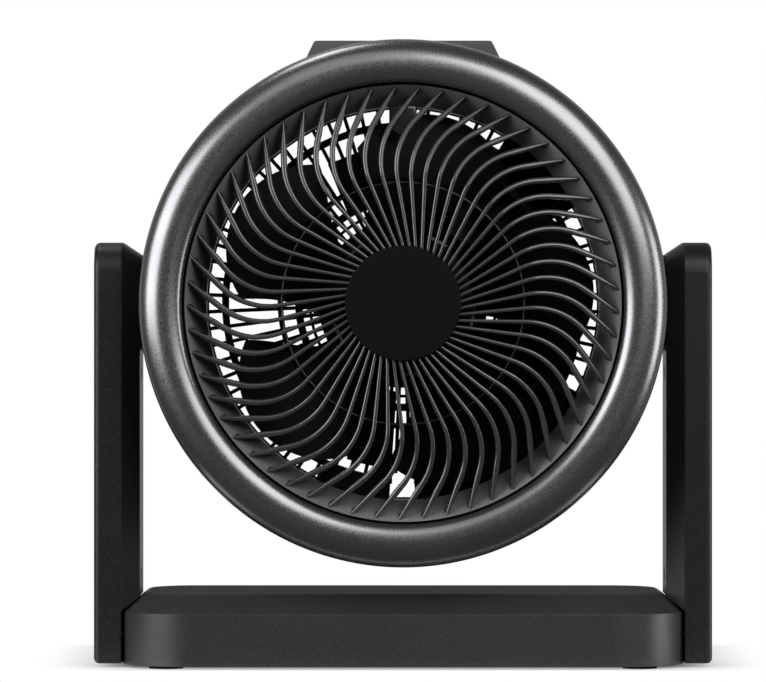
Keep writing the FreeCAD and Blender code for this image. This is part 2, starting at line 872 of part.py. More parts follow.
# Head: bezel and grille
def make_front_bezel():
    """Rounded ring, hollow behind, with screw bosses inside."""
    body = new_body("front_bezel", "head")
    half = S.bezel_width / 2
    inside = half - S.bezel_wall
    crest = S.bezel_radius - half
    plane = S.bezel_plane
    lip = ledge_front + S.seam
    profile = [
        (S.bezel_radius, plane, half),
        (crest, plane + half, half),
        (bezel_inner, plane),
        (bezel_inner, lip),
        (bezel_inner + S.bezel_wall, lip),
        (bezel_inner + S.bezel_wall, plane, -inside),
        (crest, plane + inside, -inside),
        (S.bezel_radius - S.bezel_wall, plane),
        (S.bezel_radius - S.bezel_taper - S.bezel_wall, bezel_rear),
        (S.bezel_radius - S.bezel_taper, bezel_rear),
    ]
    revolve(body, [profile])
    boss = draw(body, "XY_Plane", [("circle", S.bezel_screw_radius, 0, S.bezel_boss_radius)], S.drum_front)
    column = pad(body, boss, plane + inside + S.bezel_wall / 4 - S.drum_front)
    around(body, column, S.bezel_screws)
    bore = draw(body, "XY_Plane", [("circle", S.bezel_screw_radius, 0, screw_bore)], S.drum_front)
    hole = pocket(body, bore, S.screw_grip, forward=True)
    around(body, hole, S.bezel_screws)


def fin_outline():
    """Front view of one fin: straight from the hub, a bend against the swirl, straight to the rim.

    It grows wider out to a place just past the bend and then narrows to a fine tip.
    """
    turn = S.fin_turn_radius
    stations = (
        (-S.fin_inner_slope, S.fin_root - S.fin_turn, S.fin_root_width),
        (-S.fin_inner_slope, as_size(0), S.fin_turn_width),
        (S.fin_outer_slope, as_size(0), S.fin_bend_width),
        (S.fin_outer_slope, S.fin_wide_run, S.fin_width),
        (S.fin_outer_slope, S.fin_tip_run, S.fin_tip_width),
    )

    def turned(x, y):
        phase = S.fin_phase
        return x * cosine(phase) - y * sine(phase), x * sine(phase) + y * cosine(phase)

    near = []
    far = []
    for slope, run, width in stations:
        for edge, offset in ((near, turn - width / 2), (far, turn + width / 2)):
            x = S.fin_turn + offset * sine(slope) + run * cosine(slope)
            y = offset * cosine(slope) - run * sine(slope) - turn
            edge.append(turned(x, y))
    half = (S.fin_turn_width + S.fin_bend_width) / 4
    near[1] = (*near[1], half - turn)
    far[2] = (*far[2], turn + half)
    return near + far[::-1]


def make_front_grille():
    """Swirl grille: hub disc, swept fins, support ring, conical rim with ledge, and the upper lug."""
    body = new_body("front_grille", "head")
    hub_rear = S.hub_front - S.hub_depth
    hub_inside = S.hub_radius - S.hub_wall
    hub = [
        (0, S.hub_front),
        (0, S.hub_front - S.hub_wall),
        (hub_inside, S.hub_front - S.hub_wall),
        (hub_inside, hub_rear),
        (S.hub_radius, hub_rear),
        (S.hub_radius, S.hub_front),
    ]
    revolve(body, [hub])
    fin = pad(body, draw(body, "XY_Plane", [fin_outline()], S.fin_rear), S.fin_front - S.fin_rear)
    around(body, fin, S.fin_count)
    throat_middle = S.throat_radius + S.rim_wall / 2
    outside = S.ledge_radius + S.rim_wall
    blank = [
        (S.hub_radius + 0.01, S.fin_front),
        (S.fin_turn, S.fin_front),
        (S.fin_end_radius, S.fin_end_front),
        (throat_middle, S.drum_front),
        (outside, S.drum_front),
        (outside, S.hub_front),
        (S.hub_radius + 0.01, S.hub_front),
    ]
    core = [
        (0, S.fin_rear - 1.0),
        (hub_inside, S.fin_rear - 1.0),
        (hub_inside, S.hub_front - S.hub_wall),
        (0, S.hub_front - S.hub_wall),
    ]
    groove(body, [blank, core])
    rim = [
        (rim_radius - S.rim_lip, S.rim_front),
        (rim_radius, S.rim_front),
        (rim_radius, S.rim_front - S.rim_collar),
        (S.throat_radius + S.rim_wall, ledge_front),
        (S.ledge_radius, ledge_front),
        (S.ledge_radius, S.drum_front),
        (S.throat_radius, S.drum_front),
    ]
    support = box_outline(
        S.support_radius - S.support_width / 2,
        S.fin_rear - S.support_depth / 2,
        S.support_radius + S.support_width / 2,
        S.fin_rear + S.support_depth / 2,
    )
    revolve(body, [rim, support])
    lug = [
        (-S.lug_half_width, S.lug_centre, S.lug_half_width),
        (0, S.lug_centre - S.lug_half_width, S.lug_half_width),
        (S.lug_half_width, S.lug_centre),
        (S.lug_half_width, S.throat_radius + S.rim_wall),
        (-S.lug_half_width, S.throat_radius + S.rim_wall),
    ]
    pad(body, draw(body, "XY_Plane", [lug], S.drum_front), S.ledge_thickness)


# Head: rear housing and guard
def drum_profile():
    """Half section of the rear housing: outer wall, front wall and air duct."""
    inner_rear = S.drum_rear_radius - S.drum_wall
    return [
        (S.duct_radius, S.drum_front),
        (drum_step, S.drum_front),
        (drum_step, drum_shoulder),
        (drum_front_radius, drum_shoulder, -S.drum_curve),
        (S.drum_rear_radius, guard_front),
        (inner_rear, guard_front, S.drum_curve - S.drum_wall),
        (drum_front_radius - S.drum_wall, drum_inside),
        (duct_outer, drum_inside),
        (duct_outer, pack_front),
        (S.duct_radius, pack_front),
    ]


def ear_places():
    """Places of the four ears of the heater packs, on the ear circle."""
    packs = (
        (S.large_pack_start, S.large_pack_span),
        (S.small_pack_start, S.small_pack_span),
    )
    places = []
    for start, span in packs:
        places.append(polar(S.ear_circle, start + S.ear_inset))
        places.append(polar(S.ear_circle, start + span - S.ear_inset))
    return places


def make_rear_housing():
    """Drum behind the bezel: carries the duct, the pivots, the control housing and the guard."""
    body = new_body("rear_housing", "head")
    revolve(body, [drum_profile()])
    boss = draw(body, "YZ_Plane", [("circle", 0, 0, S.boss_radius)], S.boss_root)
    right_boss = pad(body, boss, boss_end - S.boss_root)
    mirror(body, [right_boss])
    bore = draw(body, "YZ_Plane", [("circle", 0, 0, S.axle_radius + S.axle_fit)], boss_end + 1.0)
    right_bore = pocket(body, bore, boss_end + 2.0 - S.boss_root)
    mirror(body, [right_bore])
    gap = S.tub_half + S.tub_gap
    window = box_outline(-gap, -S.tub_rear - S.tub_gap, gap, S.tub_front + S.tub_gap)
    opening = draw(body, "XZ_Plane", [window], -S.panel_top)
    pocket(body, opening, S.panel_top - S.tub_floor + S.tub_gap, forward=True)
    place = polar(guard_bolt_circle, S.bolt_angle)
    column = draw(body, "XY_Plane", [("circle", *place, S.guard_boss)], guard_front)
    guard_column = pad(body, column, S.guard_boss_length)
    around(body, guard_column, S.guard_screws)
    hole = draw(body, "XY_Plane", [("circle", *place, screw_bore)], guard_front)
    guard_hole = pocket(body, hole, S.screw_grip, forward=True)
    around(body, guard_hole, S.guard_screws)
    ears = [("circle", *place, S.ear_radius) for place in ear_places()]
    pad(body, draw(body, "XY_Plane", ears, pack_front), S.ear_boss_length)
    ear_bores = [("circle", *place, screw_bore) for place in ear_places()]
    pocket(body, draw(body, "XY_Plane", ear_bores, pack_front), S.screw_grip + 1.0, forward=True)
    fixing = draw(body, "XY_Plane", [("circle", S.bezel_screw_radius, 0, screw_clear)], drum_inside)
    bezel_hole = pocket(body, fixing, S.drum_front - drum_inside + 1.0, forward=True)
    around(body, bezel_hole, S.bezel_screws)


def make_rear_guard():
    """Dished intake guard: rim, rows of slots between radial bars, a window below, and the motor plate."""
    body = new_body("rear_guard", "head")
    profile = [
        (S.drum_rear_radius, guard_front),
        (S.guard_rim, guard_front),
        (S.guard_hub, motor_rear),
        (S.guard_hole, motor_rear),
        (S.guard_hole, hub_back),
        (S.guard_hub, hub_back),
        (S.guard_rim, guard_back),
        (S.drum_rear_radius, guard_back),
    ]
    revolve(body, [profile])
    holes = []
    for quarter in range(4):
        turn = S.bolt_angle + 90.0 * quarter
        holes.append(("circle", *polar(guard_bolt_circle, turn), screw_clear))
        holes.append(("circle", *polar(S.motor_screw_circle, turn), screw_clear))
    depth = S.guard_dish + S.guard_thickness * 2
    pocket(body, draw(body, "XY_Plane", holes, guard_front + 1.0), depth + 1.0)
    half_pitch = 180.0 / S.guard_slots
    slots = []
    rows = (
        (S.row_outer_low, S.row_outer_high),
        (S.row_middle_low, S.row_middle_high),
        (S.row_inner_low, S.row_inner_high),
        (S.row_core_low, S.row_core_high),
    )
    for low, high in rows:
        low_half = low * sine(half_pitch) - S.guard_bar / 2
        high_half = high * sine(half_pitch) - S.guard_bar / 2
        slots.append([(low, -low_half), (high, -high_half), (high, high_half), (low, low_half)])
    slot = pocket(body, draw(body, "XY_Plane", slots, guard_front + 1.0), depth + 1.0)
    around(body, slot, S.guard_slots)
    window = box_outline(-S.window_half, -S.row_outer_high, S.window_half, -S.window_low)
    pocket(body, draw(body, "XY_Plane", [window], guard_front + 1.0), depth + 1.0)


def make_motor_cap():
    """Domed cap over the motor screws at the rear."""
    body = new_body("motor_cap", "head")
    back = hub_back - S.cap_depth
    side = hub_back - S.cap_side
    profile = [
        (S.cap_radius, hub_back),
        (S.cap_radius - S.cap_wall, hub_back),
        (S.cap_radius - S.cap_wall, side, -S.cap_crown),
        (0, back + S.cap_wall),
        (0, back, S.cap_crown),
        (S.cap_radius, side),
    ]
    revolve(body, [profile])


# Head: motor
def make_motor():
    """Motor: two end shields, stator stack, windings, two sleeve bearings, shaft and rotor core."""
    wall = S.motor_wall
    seat = S.bearing_radius + S.bush_fit
    inner = S.motor_radius - wall
    boss = S.bearing_length + 1.0
    shields = (
        ("motor_rear_shield", motor_rear, stack_rear, 1.0),
        ("motor_front_shield", motor_front, stack_front, -1.0),
    )
    for label, face, rim, way in shields:
        body = new_body(label, "head")
        profile = [
            (seat, face),
            (S.motor_radius, face),
            (S.motor_radius, rim),
            (inner, rim),
            (inner, face + wall * way),
            (S.bearing_seat, face + wall * way),
            (S.bearing_seat, face + boss * way),
            (seat, face + boss * way),
        ]
        revolve(body, [profile])
        if label == "motor_rear_shield":
            turns = [S.bolt_angle + 90.0 * quarter for quarter in range(4)]
            places = [polar(S.motor_screw_circle, turn) for turn in turns]
            holes = [("circle", *place, screw_bore) for place in places]
            pocket(body, draw(body, "XY_Plane", holes, face), wall + 1.0, forward=True)
    bearings = (
        ("rear_bearing", motor_rear, motor_rear + S.bearing_length),
        ("front_bearing", motor_front - S.bearing_length, motor_front),
    )
    for label, low, high in bearings:
        body = new_body(label, "head")
        revolve(body, [box_outline(S.shaft_radius + S.shaft_fit, low, S.bearing_radius, high)])
    stator = new_body("motor_stator", "head")
    revolve(stator, [box_outline(S.stack_bore, stack_rear, S.motor_radius, stack_front)])
    windings = new_body("motor_windings", "head")
    rear_coil = box_outline(S.winding_inner, stack_rear - S.winding_depth, S.winding_outer, stack_rear)
    front_coil = box_outline(S.winding_inner, stack_front, S.winding_outer, stack_front + S.winding_depth)
    revolve(windings, [rear_coil, front_coil])
    shaft = new_body("motor_shaft", "head")
    pad(
        shaft,
        draw(shaft, "XY_Plane", [("circle", 0, 0, S.shaft_radius)], motor_rear + 1.0),
        S.shaft_front - motor_rear - 1.0,
    )
    core = new_body("motor_rotor", "head")
    bore = S.shaft_radius + S.bush_fit
    revolve(core, [box_outline(bore, stack_rear, S.stack_bore - S.air_gap, stack_front)])


# Head: fan
def blade_lean(radius):
    """Lean of a blade at a radius, in degrees: it grows with the cube of the depth below the tip."""
    depth = (S.fan_radius.value - radius) / (S.fan_radius.value - S.fan_hub.value)
    return S.blade_sweep.value * max(depth, 0.0) ** 3


def blade_half(radius):
    """Half width of a blade at a radius, in degrees: it has a waist near the hub."""
    depth = (S.fan_radius.value - radius) / (S.fan_radius.value - S.fan_hub.value)
    depth = min(max(depth, 0.0), 1.0)
    peak = 256.0 / 27.0
    return S.blade_half_angle.value - S.blade_waist.value * peak * depth ** 3 * (1.0 - depth)


def blade_edge(side, steps=8):
    """Curve along one edge of a blade in front view, from inside the hub to beyond the tip."""
    root = S.fan_hub.value - S.fan_hub_wall.value
    reach = S.fan_radius.value / math.cos(math.radians(S.blade_half_angle.value)) + 2.0
    points = []
    for step in range(steps + 1):
        radius = root + (reach - root) * step / steps
        angle = math.radians(side * blade_half(radius) + blade_lean(radius))
        points.append(Vector(radius * math.cos(angle), radius * math.sin(angle), 0))
    curve = Part.BSplineCurve()
    curve.interpolate(points)
    return curve


def blade_prism(depth):
    """Front view of one blade raised to a depth: its outer end is one full round."""
    leading = blade_edge(1.0)
    trailing = blade_edge(-1.0)
    root_line = Part.LineSegment(trailing.StartPoint, leading.StartPoint)
    tip_line = Part.LineSegment(leading.EndPoint, trailing.EndPoint)
    edges = [root_line.toShape(), leading.toShape(), tip_line.toShape(), trailing.toShape()]
    prism = Part.Face(Part.Wire(edges)).extrude(Vector(0, 0, depth))
    middle = Vector(S.fan_radius.value - S.blade_round.value, 0, 0)
    tip = Part.makeCylinder(S.blade_round.value, depth, middle)
    tip.rotate(middle, Vector(0, 0, 1), 180)
    return prism.common(tip)


def blade_sheet(steps=5):
    """Twisted sheet that a blade is cut from: at each radius it climbs evenly about the leaning middle."""
    root = S.fan_hub.value - S.fan_hub_wall.value * 2.0
    tip = S.fan_radius.value * 1.1
    spread = math.tan(math.radians(S.blade_half_angle.value))
    wide = 1.25
    climb = Vector(0, 0, S.blade_rise.value / 2.0 * wide)
    half = Vector(0, 0, S.blade_thickness.value / 2.0)
    sections = []
    for step in range(steps + 1):
        radius = root + (tip - root) * step / steps
        turn = math.radians(blade_lean(radius))
        middle = Vector(radius * math.cos(turn), radius * math.sin(turn), S.blade_middle.value)
        along = Vector(-math.sin(turn), math.cos(turn), 0) * (radius * spread * wide)
        corners = [
            middle - along - climb - half,
            middle + along + climb - half,
            middle + along + climb + half,
            middle - along - climb + half,
        ]
        sections.append(Part.makePolygon(corners + corners[:1]))
    return Part.makeLoft(sections, True, False)


def make_fan():
    """Five wide swept blades on a cup-shaped hub, and the nut that holds it on the shaft."""
    front = S.fan_hub_front.value
    rear = S.fan_hub_rear.value
    wall = S.fan_hub_wall.value
    hub_radius = S.fan_hub.value
    cup = Part.makeCylinder(hub_radius, front - rear, Vector(0, 0, rear))
    room = Part.makeCylinder(hub_radius - wall, front - rear - wall, Vector(0, 0, rear))
    boss = Part.makeCylinder(S.fan_boss.value, front - rear, Vector(0, 0, rear))
    bore = Part.makeCylinder(S.shaft_radius.value + S.bush_fit.value, front)
    hub = cup.cut(room).fuse(boss)

    core = Part.makeCylinder(hub_radius - wall / 2.0, front + rear)
    blade = blade_prism(front + rear).common(blade_sheet()).cut(core)
    blades = []
    for index in range(int(round(S.blade_count.value))):
        copy = blade.copy()
        turn = S.blade_phase.value + 360.0 * index / S.blade_count.value
        copy.rotate(Vector(0, 0, 0), Vector(0, 0, 1), turn)
        blades.append(copy)
    shaped_part("fan_blades", hub.multiFuse(blades).cut(bore), "head")

    nut = new_body("fan_nut", "head")
    nut_front = S.fan_hub_front + S.nut_depth
    profile = [
        (0, nut_front),
        (0, S.shaft_front),
        (S.shaft_radius + S.bush_fit, S.shaft_front),
        (S.shaft_radius + S.bush_fit, S.fan_hub_front),
        (S.nut_radius, S.fan_hub_front),
        (S.nut_radius - 1.5, nut_front),
    ]
    revolve(nut, [profile])


# Head: heater packs
def sector(inner, outer, start, stop):
    """Outline of a ring sector between two angles."""
    middle = (start + stop) / 2
    return [
        polar(inner, start),
        (*polar(outer, start), outer),
        (*polar(outer, middle), outer),
        polar(outer, stop),
        (*polar(inner, stop), -inner),
        (*polar(inner, middle), -inner),
    ]


def make_heater_pack(size_name, start, span):
    """A sector-shaped frame with two ears and a winged heat shield behind, and its ceramic element with fins."""
    frame = new_body(f"{size_name}_heater_frame", "head")
    stop = start + span
    pack_rear = pack_front - S.pack_depth
    side = DEGREES * S.pack_wall / S.pack_inner
    inner = S.pack_inner + S.pack_wall
    outer = S.pack_outer - S.pack_wall
    walls = [
        sector(S.pack_inner, S.pack_outer, start, stop),
        sector(inner, outer, start + side, stop - side),
    ]
    pad(frame, draw(frame, "XY_Plane", walls, pack_rear), S.pack_depth)
    ear_width = DEGREES * S.ear_radius / S.ear_circle
    ears = []
    holes = []
    for middle in (start + S.ear_inset, stop - S.ear_inset):
        reach = S.ear_circle + S.ear_radius
        ears.append(sector(S.pack_outer - 0.5, reach, middle - ear_width, middle + ear_width))
        holes.append(("circle", *polar(S.ear_circle, middle), screw_clear))
    pad(frame, draw(frame, "XY_Plane", ears, pack_front - S.ear_thickness), S.ear_thickness)
    pocket(frame, draw(frame, "XY_Plane", holes, pack_front + 1.0), S.ear_thickness + 2.0)
    posts = []
    for radius in (inner, outer):
        turn = DEGREES * S.pack_wall / radius
        for angle in (start + turn, stop - turn):
            posts.append(("circle", *polar(radius, angle), S.pack_wall))
    pad(frame, draw(frame, "XY_Plane", posts, pack_rear - S.shield_gap), S.shield_gap)
    sheet_outline = sector(S.pack_inner, S.pack_outer, start, stop)
    shield = draw(frame, "XY_Plane", [sheet_outline], pack_rear - S.shield_gap)
    pad(frame, shield, S.shield_sheet, backward=True)
    wing_outline = sector(S.pack_inner, S.wing_outer, stop - 1.0, stop + S.wing_span)
    wing = draw(frame, "XY_Plane", [wing_outline], pack_rear - S.shield_gap)
    pad(frame, wing, S.shield_sheet, backward=True)

    element = new_body(f"{size_name}_heater_element", "head")
    edge = DEGREES * S.pack_gap / inner
    first = start + side + edge
    last = stop - side - edge
    low = inner + S.pack_gap
    high = outer - S.pack_gap
    bars = []
    for index in range(4):
        bar_low = low + index * (high - low - S.ptc_bar) / 3
        bars.append(sector(bar_low, bar_low + S.ptc_bar, first, last))
    rear = pack_rear + S.pack_wall
    depth = S.pack_depth - S.pack_wall * 2
    pad(element, draw(element, "XY_Plane", bars, rear), depth)
    thick = DEGREES * S.fin_plate / high
    plate = sector(low, high, first, first + thick)
    first_plate = pad(element, draw(element, "XY_Plane", [plate], rear), depth)
    steps = int((last.value - first.value - thick.value) / S.fin_plate_pitch.value)
    around(element, first_plate, steps + 1, S.fin_plate_pitch * steps)


def make_thermal_cutout():
    """Thermal cut-out on the duct's rear edge, with a bracket plate that reaches in towards the motor."""
    body = new_body("thermal_cutout", "head")
    stop = S.cutout_start + S.cutout_span
    block = sector(S.cutout_inner, duct_outer, S.cutout_start, stop)
    pad(body, draw(body, "XY_Plane", [block], pack_front), S.cutout_depth, backward=True)
    neck = sector(S.bracket_outer - 1.0, S.cutout_inner + 1.0, S.bracket_neck, stop)
    pad(body, draw(body, "XY_Plane", [neck], pack_front), S.bracket_thickness, backward=True)
    plate = sector(S.bracket_inner, S.bracket_outer, S.bracket_start, stop)
    pad(body, draw(body, "XY_Plane", [plate], pack_front), S.bracket_thickness, backward=True)


def make_run_capacitor():
    """Boxed capacitor of the motor, shaped behind to lie on the guard's bars, with two flat terminals."""
    body = new_body("run_capacitor", "head")

    def beside(radius, side):
        x, y = polar(radius, S.capacitor_turn)
        return x - side * sine(S.capacitor_turn), y + side * cosine(S.capacitor_turn)

    def upright_box(low, high, left, right):
        return [beside(low, left), beside(high, left), beside(high, right), beside(low, right)]

    half = S.capacitor_width / 2
    case = upright_box(S.capacitor_low, S.capacitor_high, -half, half)
    rear = motor_rear - S.guard_thickness
    front = -S.capacitor_front
    pad(body, draw(body, "XY_Plane", [case], rear), front - rear)

    def at_front(box):
        return box.ZMin > front.value - 0.01

    round_edges(body, at_front, S.capacitor_edge)
    behind = [
        (S.guard_rim, guard_front),
        (S.guard_hub, motor_rear),
        (S.guard_hub, rear - 1.0),
        (S.guard_rim, rear - 1.0),
    ]
    groove(body, [behind])
    middle = (S.capacitor_low + S.capacitor_high) / 2
    tabs = []
    for side in (-S.tab_spread / 2, S.tab_spread / 2):
        half_tab = S.tab_thickness / 2
        low = middle - S.tab_width / 2
        tabs.append(upright_box(low, low + S.tab_width, side - half_tab, side + half_tab))
    pad(body, draw(body, "XY_Plane", tabs, front), S.tab_height)


# Head: control housing, lid, board and buttons
def make_control_housing():
    """Flat-topped pedestal on the drum with a tub that drops into it."""
    body = new_body("control_housing", "head")
    low = S.panel_top - S.panel_drop
    low_half = S.panel_half + S.panel_slope * S.panel_drop
    block = [(-low_half, low), (low_half, low), (S.panel_half, S.panel_top), (-S.panel_half, S.panel_top)]
    pad(body, draw(body, "XY_Plane", [block], -S.panel_rear), S.panel_front + S.panel_rear)
    top_level = S.panel_top.value
    round_edges(body, lambda box: box.YMin > top_level - 0.01, S.panel_edge)
    drum = [
        (0, S.drum_front + 2.0),
        (0, guard_front),
        (S.drum_rear_radius + S.seam, guard_front, S.drum_curve + S.seam),
        (drum_front_radius + S.seam, drum_shoulder),
        (drum_front_radius + S.seam, S.drum_front + 2.0),
    ]
    groove(body, [drum])
    tub = box_outline(-S.tub_half, -S.tub_rear, S.tub_half, S.tub_front)
    pad(body, draw(body, "XZ_Plane", [tub], -S.tub_floor), lid_under - S.tub_floor, backward=True)
    lid = box_outline(-S.lid_half, -S.lid_rear, S.lid_half, S.lid_front)
    pocket(body, draw(body, "XZ_Plane", [lid], -S.panel_top - 1.0), S.lid_thickness + 1.0, forward=True)
    room = box_outline(
        S.tub_wall - S.tub_half,
        S.tub_wall - S.tub_rear,
        S.tub_half - S.tub_wall,
        S.tub_front - S.tub_wall,
    )
    depth = lid_under - S.tub_floor - S.tub_wall
    pocket(body, draw(body, "XZ_Plane", [room], -lid_under), depth, forward=True)
    posts = [("circle", *place, S.pcb_post) for place in board_posts()]
    floor = S.tub_floor + S.tub_wall
    pad(body, draw(body, "XZ_Plane", posts, -floor), S.pcb_height - floor, backward=True)


def board_edges():
    """Left, rear, right and front edge of the control board."""
    inset = S.tub_wall + S.pcb_gap
    return inset - S.tub_half, inset - S.tub_rear, S.tub_half - inset, S.tub_front - inset


def board_posts():
    """Places of the posts under the control board's corners."""
    left, rear, right, front = board_edges()
    rows = (rear + S.pcb_post, front - S.pcb_post)
    return [(x, z) for x in (left + S.pcb_post, right - S.pcb_post) for z in rows]


def buttons():
    """Name, middle and width of each push button."""
    return (
        ("mode_button", -S.button_pitch, S.button_narrow),
        ("power_button", Size(0.0, "0"), S.button_wide),
        ("timer_button", S.button_pitch, S.button_narrow),
    )


def make_controls():
    """Lid with button openings, control board with its switches, and the push buttons."""
    lid = new_body("control_panel", "head")
    outline = box_outline(
        S.lid_gap - S.lid_half,
        S.lid_gap - S.lid_rear,
        S.lid_half - S.lid_gap,
        S.lid_front - S.lid_gap,
    )
    low = S.button_row - S.button_depth / 2
    high = S.button_row + S.button_depth / 2
    openings = []
    switches = []
    for _, middle, width in buttons():
        half = width / 2 + S.button_gap
        openings.append(box_outline(middle - half, low - S.button_gap, middle + half, high + S.button_gap))
        side = S.tact_side / 2
        switches.append(box_outline(middle - side, S.button_row - side, middle + side, S.button_row + side))
    pad(lid, draw(lid, "XZ_Plane", [outline], -S.panel_top), S.lid_thickness)
    pocket(lid, draw(lid, "XZ_Plane", openings, -S.panel_top - 1.0), S.lid_thickness + 2.0, forward=True)

    board = new_body("control_board", "head")
    pad(board, draw(board, "XZ_Plane", [box_outline(*board_edges())], -S.pcb_height), S.board_thickness, True)
    pad(board, draw(board, "XZ_Plane", switches, -S.pcb_height - S.board_thickness), S.tact_height, True)

    lip_top = lid_under - S.button_gap
    lip_low = lip_top - S.button_lip_thickness
    stem_low = tact_top + S.button_travel + S.button_gap
    for name, middle, width in buttons():
        button = new_body(name, "head")
        half = width / 2
        cap = box_outline(middle - half, low, middle + half, high)
        lip = S.button_lip
        skirt = box_outline(middle - half - lip, low - lip, middle + half + lip, high + lip)
        cap_height = S.panel_top + S.button_proud - lip_top
        pad(button, draw(button, "XZ_Plane", [skirt], -lip_low), S.button_lip_thickness, backward=True)
        pad(button, draw(button, "XZ_Plane", [cap], -lip_top), cap_height, backward=True)
        stem = ("circle", middle, S.button_row, S.button_stem)
        pad(button, draw(button, "XZ_Plane", [stem], -stem_low), lip_low - stem_low, backward=True)


# Pivots
def make_axle(side, frame):
    """Pivot axle of the head in right-hand place, with its retaining washer."""
    axle = new_body(f"{side}_pivot_axle", frame)
    head = ("circle", 0, S.axis_height, S.axle_head_radius)
    pin = ("circle", 0, S.axis_height, S.axle_radius)
    head_start = S.boss_root - S.axle_head_thickness
    pad(axle, draw(axle, "YZ_Plane", [head], head_start), S.axle_head_thickness)
    pad(axle, draw(axle, "YZ_Plane", [pin], S.boss_root), axle_end - S.boss_root)
    bore = ("circle", 0, S.axis_height, screw_bore)
    pocket(axle, draw(axle, "YZ_Plane", [bore], axle_end), S.screw_grip + 2.0)
    washer = new_body(f"{side}_retaining_washer", frame)
    ring = [
        ("circle", 0, S.axis_height, S.retainer_radius),
        ("circle", 0, S.axis_height, screw_clear),
    ]
    pad(washer, draw(washer, "YZ_Plane", [*ring], axle_end), S.retainer_thickness)


# Screws
def ring_places(radius, count, start):
    """Evenly spaced places on a circle, from a start angle in degrees."""
    turns = [math.radians(start + 360.0 * index / count) for index in range(count)]
    return [(radius * math.cos(turn), radius * math.sin(turn)) for turn in turns]


def make_screws():
    """All screw groups: each group is one sub-part of alike screws."""
    grip = S.screw_grip.value
    axis = S.axis_height.value
    up = Vector(0, 0, 1)
    right = Vector(1, 0, 0)

    seat = S.foot_height.value + S.screw_sink.value
    rows = (-S.plate_screw_front.value, S.plate_screw_rear.value)
    columns = (-S.plate_screw_x.value, S.plate_screw_x.value)
    screw_group("base_screws", [(Vector(x, y, seat), up, grip) for x in columns for y in rows])

    arm_screws = []
    cover_screws = []
    pivot_screws = []
    cover_seat = arm_inner.value + S.screw_head_height.value + S.screw_hole.value
    cover_grip = arm_joint.value - cover_seat + grip - 1.0
    pivot_seat = axle_end.value + S.retainer_thickness.value
    for side in (-1.0, 1.0):
        outward = right * side
        for y in (-S.arm_screw_spread.value, S.arm_screw_spread.value):
            place = Vector(side * base_inner_half.value, y, S.arm_screw_height.value)
            arm_screws.append((place, outward, grip))
        for z in (S.cover_screw_low.value, S.cover_screw_high.value):
            cover_screws.append((Vector(side * cover_seat, 0, z), outward, cover_grip))
        pivot_screws.append((Vector(side * pivot_seat, 0, axis), outward * -1.0, grip))
    screw_group("arm_screws", arm_screws)
    screw_group("arm_cover_screws", cover_screws)
    screw_group("pivot_screws", pivot_screws)

    wall = S.drum_front.value - drum_inside.value
    places = ring_places(S.bezel_screw_radius.value, int(S.bezel_screws.value), 0.0)
    seat = drum_inside.value
    screw_group("bezel_screws", [(Vector(x, y, seat), up, wall + grip - 1.0) for x, y in places], "head")

    places = ring_places(guard_bolt_circle.value, int(S.guard_screws.value), S.bolt_angle.value)
    seat = guard_back.value
    guard_grip = S.guard_thickness.value + grip - 1.0
    screw_group("guard_screws", [(Vector(x, y, seat), up, guard_grip) for x, y in places], "head")

    places = ring_places(S.motor_screw_circle.value, 4, S.bolt_angle.value)
    seat = hub_back.value
    motor_grip = S.guard_thickness.value + S.motor_wall.value
    screw_group("motor_screws", [(Vector(x, y, seat), up, motor_grip) for x, y in places], "head")

    seat = pack_front.value - S.ear_thickness.value
    ear_grip = S.ear_thickness.value + grip
    places = [(x.value, y.value) for x, y in ear_places()]
    screw_group("heater_screws", [(Vector(x, y, seat), up, ear_grip) for x, y in places], "head")


# Build in order
make_base_housing()
make_base_plate()
make_base_contents()
make_arm("right", "stand")
make_arm("left", "left")
make_front_bezel()
make_front_grille()
make_rear_housing()
make_rear_guard()
make_motor_cap()
make_motor()
make_fan()
make_heater_pack("large", S.large_pack_start, S.large_pack_span)
make_heater_pack("small", S.small_pack_start, S.small_pack_span)
make_thermal_cutout()
make_run_capacitor()
make_control_housing()
make_controls()
make_axle("right", "stand")
make_axle("left", "left")
make_screws()

# Check and write
doc.recompute()
for item in doc.Objects:
    if "Invalid" in item.State or "Error" in item.State:
        raise RuntimeError(f"{item.Label}: {item.State}")
os.makedirs("parts", exist_ok=True)
for piece in sub_parts:
    if piece.Shape.isNull() or not piece.Shape.isValid():
        raise RuntimeError(f"{piece.Label}: shape is not valid")
for piece in sub_parts:
    piece.Shape.exportStep(f"parts/{piece.Label}.step")
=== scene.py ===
"""Looks of a tilting fan heater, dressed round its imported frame, in metres."""

import logging
import math
from dataclasses import dataclass
from enum import Enum
from typing import Optional, Sequence

import bmesh
import bpy
import numpy as np
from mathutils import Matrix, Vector


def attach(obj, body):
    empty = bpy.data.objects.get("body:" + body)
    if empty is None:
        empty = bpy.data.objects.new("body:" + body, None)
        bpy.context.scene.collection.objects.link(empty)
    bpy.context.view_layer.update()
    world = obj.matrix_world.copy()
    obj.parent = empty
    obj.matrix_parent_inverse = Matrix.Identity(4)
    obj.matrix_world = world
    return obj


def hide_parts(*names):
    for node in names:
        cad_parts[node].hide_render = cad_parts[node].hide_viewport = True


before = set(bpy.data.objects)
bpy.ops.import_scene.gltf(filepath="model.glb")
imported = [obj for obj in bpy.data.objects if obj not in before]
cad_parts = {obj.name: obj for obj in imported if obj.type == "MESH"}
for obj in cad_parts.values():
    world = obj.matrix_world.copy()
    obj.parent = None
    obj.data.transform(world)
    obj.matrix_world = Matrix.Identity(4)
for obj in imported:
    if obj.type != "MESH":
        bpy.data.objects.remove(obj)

LOG = logging.getLogger("fan_heater")
MM = 0.001
AXIS_HEIGHT = 188.0
FINE_STEPS = 360
Array = np.ndarray
Place = tuple[float, float, float]
Material = bpy.types.Material
Piece = bpy.types.Object
